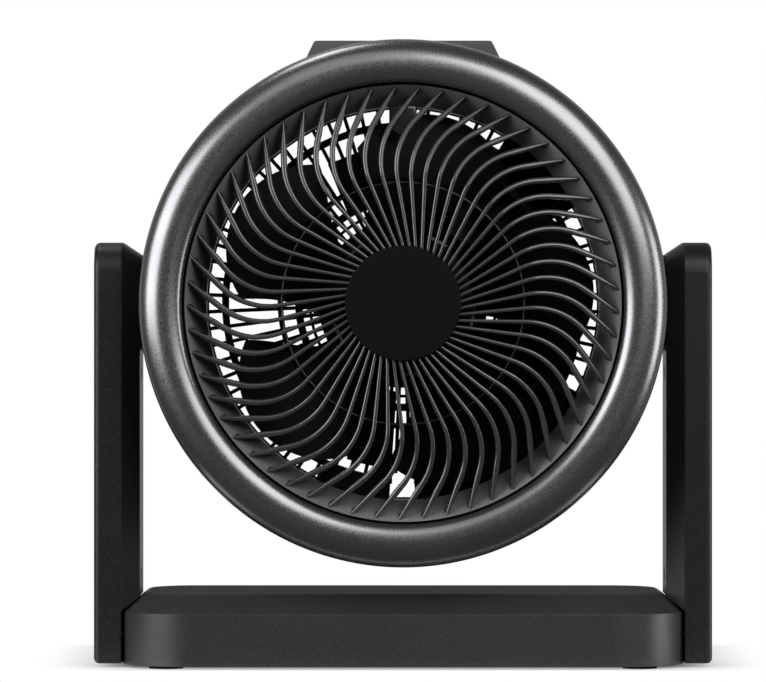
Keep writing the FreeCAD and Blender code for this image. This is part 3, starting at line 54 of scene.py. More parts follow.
Tree = bpy.types.NodeTree
Node = bpy.types.Node
Socket = bpy.types.NodeSocket


# Surfaces worked out as whole arrays, in millimetres


@dataclass
class Skin:
    """Points in millimetres, and blocks of faces with the same count of corners each."""

    points: Array
    faces: list[Array]

    def turned(self, degrees: float) -> "Skin":
        """Turn the skin about the Z axis.

        Args:
            degrees: angle, against the clock as seen from +Z.

        Returns:
            The turned skin.
        """
        angle = math.radians(degrees)
        turn = np.array(
            [
                [math.cos(angle), -math.sin(angle), 0.0],
                [math.sin(angle), math.cos(angle), 0.0],
                [0.0, 0.0, 1.0],
            ]
        )
        return Skin(self.points @ turn.T, self.faces)

    def stood(self, seat: Sequence[float], outward: Sequence[float]) -> "Skin":
        """Stand the skin on a seat, with its Z axis along a direction.

        Args:
            seat: where the skin's origin goes.
            outward: direction of the skin's Z axis, along one of the main axes.

        Returns:
            The moved skin.
        """
        up = np.asarray(outward, float)
        side = np.roll(up, 1)
        basis = np.stack([side, np.cross(up, side), up])
        return Skin(self.points @ basis + np.asarray(seat, float), self.faces)

    def face_count(self) -> int:
        """Count the faces of all blocks."""
        return sum(len(block) for block in self.faces)


def join_all(skins: Sequence[Skin]) -> Skin:
    """Join several skins into one.

    Args:
        skins: the skins, at least one.

    Returns:
        One skin that holds them all.
    """
    starts = np.cumsum([0] + [len(skin.points) for skin in skins[:-1]])
    faces = [block + start for skin, start in zip(skins, starts) for block in skin.faces]
    return Skin(np.vstack([skin.points for skin in skins]), faces)


def grid_faces(rows: int, columns: int, wrap_rows: bool = False, wrap_columns: bool = False) -> Array:
    """Corners of the four-sided faces of a grid that is stored row by row.

    The face at (i, j) joins (i, j), (i+1, j), (i+1, j+1) and (i, j+1). A wrapped side counts on from
    the start.

    Args:
        rows: points along the first parameter.
        columns: points along the second parameter.
        wrap_rows: close the first parameter on itself.
        wrap_columns: close the second parameter on itself.

    Returns:
        An array of faces, four corner numbers each.
    """
    first, second = np.meshgrid(
        np.arange(rows if wrap_rows else rows - 1),
        np.arange(columns if wrap_columns else columns - 1),
        indexing="ij",
    )
    next_row = (first + 1) % rows
    next_column = (second + 1) % columns
    corners = (
        first * columns + second,
        next_row * columns + second,
        next_row * columns + next_column,
        first * columns + next_column,
    )
    return np.stack(corners, axis=-1).reshape(-1, 4)


def capped_tube(points: Array) -> Skin:
    """Skin a grid of loops as a tube, with a flat cap at each end.

    Args:
        points: grid of places, one closed loop per row.

    Returns:
        A closed skin.
    """
    rows, columns = points.shape[:2]
    caps = np.stack([np.arange(columns), np.arange(columns) + (rows - 1) * columns])
    return Skin(points.reshape(-1, 3), [grid_faces(rows, columns, False, True), caps])


def quarter_turn(steps: int) -> Array:
    """Even angles in radians from zero to a right angle, both included."""
    return np.radians(np.linspace(0.0, 90.0, steps + 1))


def full_turn(steps: int) -> Array:
    """Even angles in radians once round, without the last, which is the first again."""
    return np.linspace(0.0, 2.0 * math.pi, steps, endpoint=False)


def turned_ring(profile: Array, steps: int = 240) -> Skin:
    """Carry a closed profile (radius, height) once round the Z axis.

    The point at profile place s and turn t is (r(s) cos t, r(s) sin t, z(s)).

    Args:
        profile: closed loop of (radius, height) pairs.
        steps: places round the axis.

    Returns:
        A closed ring.
    """
    turn = full_turn(steps)[:, None]
    radius = profile[None, :, 0]
    height = np.broadcast_to(profile[None, :, 1], (steps, len(profile)))
    points = np.stack([radius * np.cos(turn), radius * np.sin(turn), height], axis=-1)
    return Skin(points.reshape(-1, 3), [grid_faces(steps, len(profile), True, True)])


def arc_path(
    centre: tuple[float, float], radius: float, start: float, stop: float, steps: int = 6
) -> Array:
    """Points along an arc, without its last point where it is a full turn.

    Args:
        centre: centre of the arc.
        radius: radius of the arc.
        start: first angle in degrees.
        stop: last angle in degrees.
        steps: pieces of the arc.

    Returns:
        The arc's points.
    """
    angle = np.radians(np.linspace(start, stop, steps + 1))
    points = np.stack([centre[0] + radius * np.cos(angle), centre[1] + radius * np.sin(angle)], axis=-1)
    return points[:-1] if abs(stop - start) >= 360.0 else points


def ribbon(path: Array, width: float, low: float, high: float, closed: bool = False) -> Skin:
    """Carry a flat, upright box section along a path in the XY plane.

    Each path point p with side vector n gives four corners: p - n w/2 and p + n w/2, each at the low and
    the high level.

    Args:
        path: points (x, y) along the middle.
        width: width of the ribbon.
        low: level of the underside.
        high: level of the top.
        closed: join the end to the start.

    Returns:
        A closed skin.
    """
    ahead = np.roll(path, -1, axis=0) - np.roll(path, 1, axis=0)
    if not closed:
        ahead[0] = path[1] - path[0]
        ahead[-1] = path[-1] - path[-2]
    ahead = ahead / np.linalg.norm(ahead, axis=1, keepdims=True)
    side = np.stack([-ahead[:, 1], ahead[:, 0]], axis=-1) * width / 2.0
    level = np.ones((len(path), 1))
    corners = [
        np.hstack([path - side, level * low]),
        np.hstack([path + side, level * low]),
        np.hstack([path + side, level * high]),
        np.hstack([path - side, level * high]),
    ]
    points = np.stack(corners, axis=1)
    if not closed:
        return capped_tube(points)
    return Skin(points.reshape(-1, 3), [grid_faces(len(path), 4, True, True)])


def in_head(skin: Skin) -> Skin:
    """Move a skin from the head's own frame, with Z forward and Y up, to the whole object's frame."""
    points = skin.points
    return Skin(np.stack([points[:, 0], -points[:, 2], points[:, 1] + AXIS_HEIGHT], axis=-1), skin.faces)


class Sharpness(Enum):
    """Angle past which an edge is shaded as a crease."""

    SOFT = 60.0
    CRISP = 32.0


def make_piece(name: str, zones: Sequence[Skin], sharpness: Sharpness = Sharpness.CRISP) -> Piece:
    """Put skins into one mesh object at the origin, with faces outwards and one material place per skin.

    Args:
        name: the piece's name.
        zones: skins in millimetres in the object's frame, in the order of their materials.
        sharpness: where shading creases.

    Returns:
        The new object.
    """
    skin = join_all(zones)
    mesh = bpy.data.meshes.new(name)
    faces = [face for block in skin.faces for face in block.tolist()]
    mesh.from_pydata((skin.points * MM).tolist(), [], faces)
    zone_numbers = np.repeat(np.arange(len(zones)), [zone.face_count() for zone in zones])
    mesh.polygons.foreach_set("material_index", zone_numbers.astype(np.int32))
    work = bmesh.new()
    work.from_mesh(mesh)
    bmesh.ops.recalc_face_normals(work, faces=work.faces)
    work.to_mesh(mesh)
    work.free()
    mesh.shade_smooth()
    mesh.set_sharp_from_angle(angle=math.radians(sharpness.value))
    piece = bpy.data.objects.new(name, mesh)
    bpy.context.scene.collection.objects.link(piece)
    return piece


# Finishes


def linear(code: str) -> tuple[float, ...]:
    """Turn an sRGB hex colour into the linear colour that shaders take.

    Args:
        code: six hex digits after a hash.

    Returns:
        Linear red, green, blue and full alpha.
    """
    channels = np.array([int(code[i : i + 2], 16) for i in (1, 3, 5)]) / 255.0
    bright = ((channels + 0.055) / 1.055) ** 2.4
    red, green, blue = np.where(channels <= 0.04045, channels / 12.92, bright)
    return float(red), float(green), float(blue), 1.0


def add_node(tree: Tree, kind: str, settings: Optional[dict] = None, **links: object) -> Node:
    """Add a node with its settings, and link or set its inputs.

    Args:
        tree: the node tree.
        kind: the node's type name.
        settings: properties of the node.
        links: input name with underscores for spaces, or n and the input's number, to an output socket
            or a plain value.

    Returns:
        The new node.
    """
    node = tree.nodes.new(kind)
    for key, value in (settings or {}).items():
        setattr(node, key, value)
    for key, value in links.items():
        numbered = key[0] == "n" and key[1:].isdigit()
        place = node.inputs[int(key[1:])] if numbered else node.inputs[key.replace("_", " ")]
        if isinstance(value, Socket):
            tree.links.new(value, place)
        else:
            place.default_value = value
    return node


# Range that one noise mostly keeps to, and that of the sum of two
GRAIN_RANGE = (0.3, 0.7)
TONE_RANGE = (0.75, 1.25)
# Upward share of a face's normal over which the face comes to count as a top
TOP_RANGE = (0.9, 0.98)
CLOUD_DETAIL = 2.0
EDGE_SAMPLES = 4


def blank_material(name: str) -> tuple[Material, Tree, Node]:
    """Start a material.

    Args:
        name: the material's name.

    Returns:
        The material, its node tree and its shader.
    """
    material = bpy.data.materials.new(name)
    material.use_nodes = True
    tree = material.node_tree
    return material, tree, tree.nodes["Principled BSDF"]


def grain_surface(tree: Tree, shader: Node, grain: Socket, finish: "Finish") -> Node:
    """Let the grain vary a shader's roughness and lift its surface.

    Args:
        tree: the node tree.
        shader: the shader.
        grain: the grain's height.
        finish: the finish that gives roughness, spread and depth.

    Returns:
        The bump node.
    """
    sheen = add_node(
        tree,
        "ShaderNodeMapRange",
        Value=grain,
        From_Min=GRAIN_RANGE[0],
        From_Max=GRAIN_RANGE[1],
        To_Min=finish.roughness - finish.roughness_spread,
        To_Max=finish.roughness + finish.roughness_spread,
    )
    tree.links.new(sheen.outputs[0], shader.inputs["Roughness"])
    bump = add_node(tree, "ShaderNodeBump", Height=grain, Distance=finish.grain_depth_mm * MM)
    tree.links.new(bump.outputs[0], shader.inputs["Normal"])
    return bump


@dataclass(frozen=True)
class Moulded:
    """A moulded plastic, rubber or paint with a grain, which breaks a highlight into fine speckle.

    A grain that is too fine to show in the render is drawn as coarse as it needs to show.
    """

    name: str
    colour: str
    roughness: float
    grain_mm: float = 0.8
    grain_detail: float = 3.0
    grain_depth_mm: float = 0.02
    roughness_spread: float = 0.08
    tone_spread: float = 0.12
    cloud_mm: float = 45.0
    metallic: float = 0.0
    specular: float = 0.5
    edge_mm: float = 0.0
    top_specular: Optional[float] = None

    def make(self) -> Material:
        """Build the material.

        Returns:
            The material.
        """
        material, tree, shader = blank_material(self.name)
        shader.inputs["Metallic"].default_value = self.metallic
        shader.inputs["Specular IOR Level"].default_value = self.specular
        place = add_node(tree, "ShaderNodeTexCoord").outputs["Object"]
        grain, cloud = (
            add_node(
                tree, "ShaderNodeTexNoise", Vector=place, Scale=1.0 / (size * MM), Detail=detail
            ).outputs["Fac"]
            for size, detail in ((self.grain_mm, self.grain_detail), (self.cloud_mm, CLOUD_DETAIL))
        )
        base = linear(self.colour)
        low = tuple(channel * (1.0 - self.tone_spread) for channel in base[:3]) + (1.0,)
        high = tuple(min(channel * (1.0 + self.tone_spread), 1.0) for channel in base[:3]) + (1.0,)
        both = add_node(tree, "ShaderNodeMath", {"operation": "ADD"}, n0=grain, n1=cloud).outputs[0]
        share = add_node(
            tree, "ShaderNodeMapRange", Value=both, From_Min=TONE_RANGE[0], From_Max=TONE_RANGE[1]
        )
        tone = add_node(tree, "ShaderNodeMix", {"data_type": "RGBA"}, n0=share.outputs[0], n6=low, n7=high)
        tree.links.new(tone.outputs[2], shader.inputs["Base Color"])
        if self.top_specular is not None:
            facing = add_node(tree, "ShaderNodeNewGeometry").outputs["Normal"]
            upward = add_node(tree, "ShaderNodeSeparateXYZ", Vector=facing).outputs["Z"]
            shine = add_node(
                tree,
                "ShaderNodeMapRange",
                Value=upward,
                From_Min=TOP_RANGE[0],
                From_Max=TOP_RANGE[1],
                To_Min=self.specular,
                To_Max=self.top_specular,
            )
            tree.links.new(shine.outputs[0], shader.inputs["Specular IOR Level"])
        bump = grain_surface(tree, shader, grain, self)
        if self.edge_mm > 0.0:
            edge = add_node(tree, "ShaderNodeBevel", {"samples": EDGE_SAMPLES}, Radius=self.edge_mm * MM)
            tree.links.new(edge.outputs[0], bump.inputs["Normal"])
        return material


@dataclass(frozen=True)
class Metal:
    """A metal with a turned, drawn or cast surface, which stretches or scatters its highlight.

    Here too, a grain that is too fine to show in the render is drawn as coarse as it needs to show.
    """

    name: str
    colour: str
    roughness: float
    grain_mm: tuple[float, ...] = (0.6, 0.6, 0.6)
    grain_detail: float = 3.0
    grain_depth_mm: float = 0.01
    roughness_spread: float = 0.08

    def make(self) -> Material:
        """Build the material.

        Returns:
            The material.
        """
        material, tree, shader = blank_material(self.name)
        shader.inputs["Metallic"].default_value = 1.0
        shader.inputs["Base Color"].default_value = linear(self.colour)
        place = add_node(tree, "ShaderNodeTexCoord").outputs["Object"]
        scale = tuple(1.0 / (size * MM) for size in self.grain_mm)
        stretched = add_node(tree, "ShaderNodeMapping", Vector=place, Scale=scale).outputs[0]
        grain = add_node(tree, "ShaderNodeTexNoise", Vector=stretched, Scale=1.0, Detail=self.grain_detail)
        grain_surface(tree, shader, grain.outputs["Fac"], self)
        return material


Finish = Moulded | Metal

# Graphite-pigmented ABS, spark-eroded: a satin, almost metallic glow with strong speckle in the highlight
BEZEL_FINISH = Moulded(
    "ABS graphite, spark-eroded",
    "#858587",
    0.29,
    grain_mm=0.7,
    grain_detail=0.0,
    grain_depth_mm=0.005,
    roughness_spread=0.03,
    tone_spread=0.1,
    metallic=0.95,
)
# Heat-resistant ABS, satin: crisp light along each rounded fin edge, charcoal between
FIN_FINISH = Moulded("ABS heat-resistant, satin", "#353538", 0.2, grain_depth_mm=0.005, specular=1.0)
# The same moulding, spark-eroded and in a lighter grey: painted light on the conical wall, which the fins
# shade, and a painted highlight line on the support ring's ridge
RIM_FINISH = Moulded(
    "ABS heat-resistant, spark-eroded, painted light", "#707072", 0.5, grain_mm=0.9, grain_depth_mm=0.04, tone_spread=0.25
)
# The same moulding, blasted matt and in near-black: painted shade on the hub disc, on the lip, which widens
# the shadow gap, and on the support ring; they swallow light and show no edge
HUB_FINISH = Moulded("ABS heat-resistant, blasted matt, painted shade", "#0b0b0c", 0.72, grain_mm=0.7, specular=0.1)
# ABS with a matt spark-eroded grain: nearly black, with a dull glow on rounded edges
ARM_FINISH = Moulded(
    "ABS black, matt spark-eroded", "#161617", 0.42, grain_mm=1.0, specular=0.4, edge_mm=0.5
)
# The same ABS in charcoal: a dull front, and a flat top that mirrors nothing of the bright backdrop
BASE_FINISH = Moulded(
    "ABS charcoal, matt spark-eroded",
    "#2b2b2c",
    0.42,
    grain_mm=1.1,
    specular=0.6,
    edge_mm=0.6,
    top_specular=0.002,
)
# The same ABS in mid grey, lighter than the arms behind the bezel's top edge
HOUSING_FINISH = Moulded(
    "ABS grey, matt spark-eroded", "#4a4a4c", 0.45, grain_mm=1.0, specular=0.4, edge_mm=0.5
)
# Glass-filled polypropylene, satin: the fan's dull black
FAN_FINISH = Moulded("Polypropylene glass-filled, black", "#121213", 0.5, grain_mm=1.2, specular=0.3)
# ABS, polished: a clear mirror over black
PANEL_FINISH = Moulded(
    "ABS black, polished", "#0c0c0d", 0.14, grain_mm=2.0, grain_depth_mm=0.002, roughness_spread=0.03
)
# ABS, satin grey: push buttons with softened edges
BUTTON_FINISH = Moulded("ABS grey, satin", "#4a4a4c", 0.42, edge_mm=0.4)
# Two-part pad-print ink: pale, flat and slightly uneven in cover
INK_FINISH = Moulded(
    "Pad-print ink, pale grey", "#c6c6c3", 0.6, grain_mm=0.5, grain_depth_mm=0.005, tone_spread=0.06
)
# Polycarbonate light pipe: milky and smooth
LENS_FINISH = Moulded(
    "Polycarbonate light pipe, milky", "#dcdfe0", 0.2, grain_depth_mm=0.002, tone_spread=0.04
)
# Nitrile rubber: matt, slightly dusty black
RUBBER_FINISH = Moulded(
    "Nitrile rubber, moulded", "#161616", 0.85, grain_mm=1.4, roughness_spread=0.1, specular=0.25
)
# Mica-filled phenolic: brown-black heat-proof moulding with pale flecks
PHENOLIC_FINISH = Moulded("Phenolic mica-filled", "#1d1815", 0.6, grain_mm=1.0, tone_spread=0.35)
# Aluminium fin stock, coloured black as painted shade for elements that lie in shade behind the fan, with a
# faint metallic sheen
FIN_STOCK_FINISH = Moulded("Aluminium fin stock, painted shade black", "#121214", 0.45, grain_mm=0.6, metallic=0.3)
# Acetal, natural: waxy white
ACETAL_FINISH = Moulded("Acetal natural", "#e4e3dc", 0.42, grain_mm=1.5, tone_spread=0.04)
# Pressed friction fibre: reddish brown felted disc
FIBRE_FINISH = Moulded(
    "Vulcanised fibre", "#7a5340", 0.8, grain_mm=0.7, roughness_spread=0.1, tone_spread=0.3
)
# Glass-epoxy laminate with green solder mask, faintly mottled by the weave below
BOARD_FINISH = Moulded("Glass-epoxy board, green mask", "#1f5a33", 0.35, grain_mm=1.2, tone_spread=0.2)
# Iron plate under black paint: soft orange-peel
IRON_FINISH = Moulded("Iron plate, black paint", "#2c2c2e", 0.6, grain_mm=1.5, grain_depth_mm=0.04)
# Zinc-plated steel: pale, slightly mottled
ZINC_FINISH = Metal("Steel zinc-plated", "#c3c6c9", 0.3)
# Blackened steel: dark screws that keep a metal glint
BLACK_STEEL_FINISH = Metal("Steel black oxide", "#4a4a4d", 0.34)
# Silicon-steel laminations: bluish oxide, layered along the stack
CORE_FINISH = Metal("Silicon steel laminated", "#8d9199", 0.42, grain_mm=(6.0, 0.5, 6.0), grain_depth_mm=0.08)
# Die-cast aluminium: dull, sandy
CAST_FINISH = Metal("Aluminium die-cast", "#b9bbbd", 0.5, grain_mm=(0.9, 0.9, 0.9), grain_depth_mm=0.04)
# Sintered bronze: brown-gold, oily
BRONZE_FINISH = Metal("Bronze sintered", "#a9804a", 0.45)
# Enamelled copper wire: orange-brown gloss, wound in fine turns
COPPER_FINISH = Metal("Copper enamelled", "#b5672f", 0.3, grain_mm=(0.7, 5.0, 0.7), grain_depth_mm=0.1)


class Palette:
    """Keeps one material of each finish."""

    def __init__(self) -> None:
        """Start with no material made."""
        self.made: dict[str, Material] = {}

    def material(self, finish: Finish) -> Material:
        """Find a finish's material, and make it at its first use.

        Args:
            finish: the finish.

        Returns:
            Its material.
        """
        if finish.name not in self.made:
            self.made[finish.name] = finish.make()
        return self.made[finish.name]

    def paint(self, piece: Piece, *finishes: Finish) -> None:
        """Give a piece its finishes, one per zone, or one finish all over.

        Args:
            piece: a mesh object.
            finishes: the finishes in the order of the zones.
        """
        while len(piece.material_slots) < len(finishes):
            piece.data.materials.append(None)
        for number, holder in enumerate(piece.material_slots):
            holder.material = self.material(finishes[min(number, len(finishes) - 1)])
        LOG.info("%s: %s", piece.name, "; ".join(finish.name for finish in finishes))


# Sub-assemblies


@dataclass
class Bezel:
    """Front bezel: a hollow ring, broadly rounded outside its crest and tightly rounded inside it."""

    outer: float = 135.0
    inner: float = 113.0
    crest: float = 121.7
    height: float = 76.0
    outer_drop: float = 12.0
    inner_drop: float = 5.4
    wall: float = 2.6
    lip: float = 48.3
    rear: float = 44.0
    taper: float = 2.5
    boss_count: int = 6
    boss_circle: float = 124.0
    boss_radius: float = 4.0
    boss_bore: float = 1.8
    boss_rear: float = 46.0
    boss_sides: int = 32
    front_steps: int = 24

    def front(self, inset: float) -> Array:
        """Front curve from the outer flank over the crest to the inner edge.

        Each side of the crest is a quarter ellipse: radius crest + w cos t, height foot + d sin t, with its
        own width w and drop d.

        Args:
            inset: how far the curve lies inside the outer surface.

        Returns:
            Points of (radius, height).
        """
        turn = quarter_turn(self.front_steps)
        outer = (self.outer - inset, self.outer_drop, turn)
        inner = (self.inner + inset, self.inner_drop, turn[-2::-1])
        curves = []
        for edge, drop, angle in (outer, inner):
            radius = self.crest + (edge - self.crest) * np.cos(angle)
            curves.append(np.stack([radius, self.height - drop + (drop - inset) * np.sin(angle)], axis=-1))
        return np.vstack(curves)

    def build(self, palette: Palette) -> None:
        """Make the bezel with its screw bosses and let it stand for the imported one.

        Args:
            palette: the materials.
        """
        edge = [(self.inner, self.lip), (self.inner + self.wall, self.lip)]
        skirt = [(self.outer - self.taper - self.wall, self.rear), (self.outer - self.taper, self.rear)]
        profile = np.vstack([self.front(0.0), edge, self.front(self.wall)[::-1], skirt])
        top = self.height - self.wall
        bore = np.array(
            [
                (self.boss_bore, self.boss_rear),
                (self.boss_radius, self.boss_rear),
                (self.boss_radius, top),
                (self.boss_bore, top),
            ]
        )
        tube = turned_ring(bore, self.boss_sides)
        boss = Skin(tube.points + np.array([self.boss_circle, 0.0, 0.0]), tube.faces)
        bosses = [boss.turned(360.0 / self.boss_count * index) for index in range(self.boss_count)]
        ring = turned_ring(profile, FINE_STEPS)
        piece = make_piece("round_bezel", [in_head(join_all([ring, *bosses]))], Sharpness.SOFT)
        palette.paint(piece, BEZEL_FINISH)
        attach(piece, "head")
        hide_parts("front_bezel")


@dataclass
class SwirlGrille:
    """Front grille: hub disc, swept fins with rounded fronts, support ring, conical rim and lug."""

    fin_count: int = 57
    fin_rear: float = 55.0
    fin_front: float = 68.5
    fin_end_front: float = 62.2
    fin_end_radius: float = 111.4
    fin_edge: float = 1.4
    fin_round: float = 0.9
    fin_round_steps: int = 7
    root_width: float = 1.5
    turn_width: float = 2.2
    bend_width: float = 3.0
    wide_width: float = 3.2
    tip_width: float = 1.1
    wide_run: float = 5.0
    root_gap: float = 2.0
    root_steps: int = 10
    tip_gap: float = 1.25
    tip_run: float = 24.7
    tip_steps: int = 18
    turn_place: float = 68.15
    turn_radius: float = 34.5
    inner_slope: float = 7.25
    outer_slope: float = 45.5
    phase: float = 4.4
    root: float = 27.0
    hub_radius: float = 29.5
    hub_front: float = 71.0
    hub_rear: float = 60.0
    hub_wall: float = 2.5
    hub_edge: float = 0.6
    hub_loops: tuple[float, ...] = (0.05, 12.0, 24.0)
    rim_radius: float = 112.3
    rim_front: float = 64.0
    rim_wall: float = 2.0
    rim_lip: float = 0.4
    rim_step: float = 0.25
    rim_collar: float = 2.0
    lip_round: float = 0.5
    lip_sink: float = 0.3
    lip_overlap: float = 0.2
    lip_inset: float = 0.1
    lip_depth: float = 0.4
    throat: float = 101.0
    rim_rear: float = 46.0
    ledge_radius: float = 118.0
    ledge_thickness: float = 2.0
    support_radius: float = 62.8
    support_width: float = 2.9
    support_depth: float = 3.0
    ridge_half: float = 0.4
    ridge_sides: int = 12
    lug_half: float = 7.1
    lug_centre: float = 92.8
    lug_edge: float = 1.4
    lug_edge_steps: int = 6
    lug_round_steps: int = 24
    lug_clearance: float = 0.01

    def fin_path(self, steps: int = 20) -> tuple[Array, Array, Array]:
        """Middle line of a fin in front view: straight, then an arc against the swirl, then straight.

        Args:
            steps: pieces of the arc.

        Returns:
            Points along the line, the unit normal at each, and the width at each.
        """
        bend = np.radians(np.linspace(-self.inner_slope, self.outer_slope, steps + 1))
        across = self.turn_radius * np.sin(bend)
        arc = np.stack([self.turn_place + across, self.turn_radius * (np.cos(bend) - 1.0)], axis=-1)
        heading = np.stack([np.cos(bend), -np.sin(bend)], axis=-1)
        arc_start = self.turn_place - self.turn_radius * math.sin(math.radians(self.inner_slope))
        root_length = arc_start - self.root
        root_run = np.linspace(root_length, self.root_gap, self.root_steps)
        tip_run = np.linspace(self.tip_gap, self.tip_run, self.tip_steps)
        root_line = arc[0] - root_run[:, None] * heading[0]
        tip_line = arc[-1] + tip_run[:, None] * heading[-1]
        line = np.vstack([root_line, arc, tip_line])
        root_heading = np.repeat(heading[:1], self.root_steps, axis=0)
        tip_heading = np.repeat(heading[-1:], self.tip_steps, axis=0)
        along = np.vstack([root_heading, heading, tip_heading])
        arc_length = self.turn_radius * (bend - bend[0])
        place = np.concatenate([-root_run, arc_length, arc_length[-1] + tip_run])
        stations = np.array([-root_length, 0.0, arc_length[-1], arc_length[-1] + self.wide_run, place[-1]])
        widths = [self.root_width, self.turn_width, self.bend_width, self.wide_width, self.tip_width]
        return line, np.stack([-along[:, 1], along[:, 0]], axis=-1), np.interp(place, stations, widths)

    def flare(self) -> float:
        """Radius that the conical wall gains per height."""
        return (self.rim_radius - self.rim_lip - self.throat) / (self.rim_front - self.rim_rear)

    def fin(self) -> Skin:
        """One fin: a section with a rounded front, carried along the middle line to a narrow tip.

        The front is level out to the turn, then falls evenly. The outer end is drawn back to lie in the
        rim's wall.

        Returns:
            The closed fin in the head's frame, before the swirl's phase.
        """
        line, normal, width = self.fin_path()
        half = width[:, None] / 2.0
        edge = np.minimum(self.fin_edge, self.fin_round * half)
        turn = quarter_turn(self.fin_round_steps)[None, :]
        flank = half - edge + edge * np.cos(turn)
        drop = edge * (np.sin(turn) - 1.0)
        across = np.hstack([half, flank, -flank[:, ::-1], -half])
        lift = np.hstack([0.0 * half, drop, drop[:, ::-1], 0.0 * half])
        x = line[:, 0, None] + normal[:, 0, None] * across
        y = line[:, 1, None] + normal[:, 1, None] * across
        reach = np.hypot(x, y)
        front = np.interp(reach, [self.turn_place, self.fin_end_radius], [self.fin_front, self.fin_end_front])
        height = front + lift
        height[:, [0, -1]] = self.fin_rear
        wall = self.throat + self.flare() * (height - self.rim_rear) + self.rim_lip
        shrink = np.minimum(wall / reach, 1.0)
        return capped_tube(np.stack([x * shrink, y * shrink, height], axis=-1))

    def rim(self) -> Skin:
        """Conical rim, and the flat ledge that the bezel holds.

        Returns:
            A closed ring in the head's frame.
        """
        ledge_front = self.rim_rear + self.ledge_thickness
        profile = np.array(
            [
                (self.throat, self.rim_rear),
                self.wall_place(self.rim_step),
                (self.rim_radius, self.rim_front - self.rim_collar),
                (self.throat + self.rim_wall, ledge_front),
                (self.ledge_radius, ledge_front),
                (self.ledge_radius, self.rim_rear),
            ]
        )
        return turned_ring(profile, FINE_STEPS)

    def lip(self) -> Skin:
        """Matt lip of the rim, near-black as painted shade that widens the shadow gap next to it: it rises
        from the wall and rounds over to the collar.

        Returns:
            A closed ring in the head's frame.
        """
        start = self.wall_place(self.rim_step)
        corner = (self.rim_radius - self.lip_round, start[1] - self.lip_sink)
        edge = arc_path(corner, self.lip_round, 90.0, 0.0)
        low = self.rim_front - self.rim_collar - self.lip_overlap
        back = (start[0] + self.lip_inset, start[1] - self.lip_depth)
        return turned_ring(np.vstack([[start], edge, [(self.rim_radius, low), back]]), FINE_STEPS)

    def wall_place(self, below: float) -> tuple[float, float]:
        """Radius and height of a place on the wall, by how far in radius it lies inside the front edge."""
        return self.rim_radius - self.rim_lip - below, self.rim_front - below / self.flare()

    def hub(self) -> Skin:
        """Hub disc with a softened edge and a turned-down skirt, closed at its middle by a tiny flat.

        Returns:
            A closed cup in the head's frame.
        """
        corner = (self.hub_radius - self.hub_edge, self.hub_front - self.hub_edge)
        edge = arc_path(corner, self.hub_edge, 90.0, 0.0)
        inner = self.hub_radius - self.hub_wall
        under = self.hub_front - self.hub_wall
        disc = [(radius, self.hub_front) for radius in self.hub_loops]
        skirt = [
            (self.hub_radius, self.hub_rear),
            (inner, self.hub_rear),
            (inner, under),
            (self.hub_loops[0], under),
        ]
        return turned_ring(np.vstack([disc, edge, skirt]))

    def support(self) -> Skin:
        """Ring behind the fins at mid radius, near-black as painted shade.

        Returns:
            A closed ring in the head's frame.
        """
        half = self.support_width / 2.0
        low = self.fin_rear - self.support_depth / 2.0
        high = low + self.support_depth - self.ridge_half
        inner = self.support_radius - half
        outer = self.support_radius + half
        return turned_ring(np.array([(inner, low), (outer, low), (outer, high), (inner, high)]))

    def ridge(self) -> Skin:
        """Fine round ridge on the support ring's front, which catches a thin line of light, drawn in a
        lighter grey as a painted highlight line.

        Returns:
            A closed ring in the head's frame.
        """
        top = self.fin_rear + self.support_depth / 2.0 - self.ridge_half
        middle = self.support_radius - self.support_width / 4.0
        return turned_ring(arc_path((middle, top), self.ridge_half, 0.0, 360.0, self.ridge_sides))

    def lug(self) -> Skin:
        """Rounded tab that hangs from the rim at the top, with a softened front edge.

        The outline is a half circle below and straight sides up to the rim. Loops of it shrink about the
        half circle's centre as they climb the rounded edge.

        Returns:
            A closed plate in the head's frame.
        """
        angle = np.radians(np.linspace(180.0, 360.0, self.lug_round_steps + 1))
        round_end = self.lug_half * np.stack([np.cos(angle), np.sin(angle)], axis=-1)
        top = self.throat + self.rim_wall / 2.0 - self.lug_centre
        outline = np.vstack([round_end, [(self.lug_half, top), (-self.lug_half, top)]])
        climb = quarter_turn(self.lug_edge_steps)
        inset = np.concatenate([[0.0], self.lug_edge * (1.0 - np.cos(climb))])
        front = self.rim_rear + self.ledge_thickness
        foot = self.rim_rear + self.lug_clearance
        level = np.concatenate([[foot], front - self.lug_edge * (1.0 - np.sin(climb))])
        share = (1.0 - inset / self.lug_half)[:, None, None]
        loops = outline[None] * share + np.array([0.0, self.lug_centre])
        heights = np.broadcast_to(level[:, None, None], loops.shape[:2] + (1,))
        return capped_tube(np.concatenate([loops, heights], axis=-1))

    def build(self, palette: Palette) -> None:
        """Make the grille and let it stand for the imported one.

        Args:
            palette: the materials.
        """
        fin = self.fin()
        pitch = 360.0 / self.fin_count
        fins = [fin.turned(self.phase + pitch * index) for index in range(self.fin_count)]
        satin = join_all([*fins, self.lug()])
        # Rim in a lighter grey as painted light, its ridge as a painted highlight line
        grained_painted_light = join_all([self.rim(), self.ridge()])
        # Hub, lip and support ring in near-black as painted shade
        matt = join_all([self.hub(), self.lip(), self.support()])
        zones = [satin, grained_painted_light, matt]
        piece = make_piece("swirl_grille", [in_head(zone) for zone in zones])
        palette.paint(piece, FIN_FINISH, RIM_FINISH, HUB_FINISH)
        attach(piece, "head")
        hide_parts("front_grille")


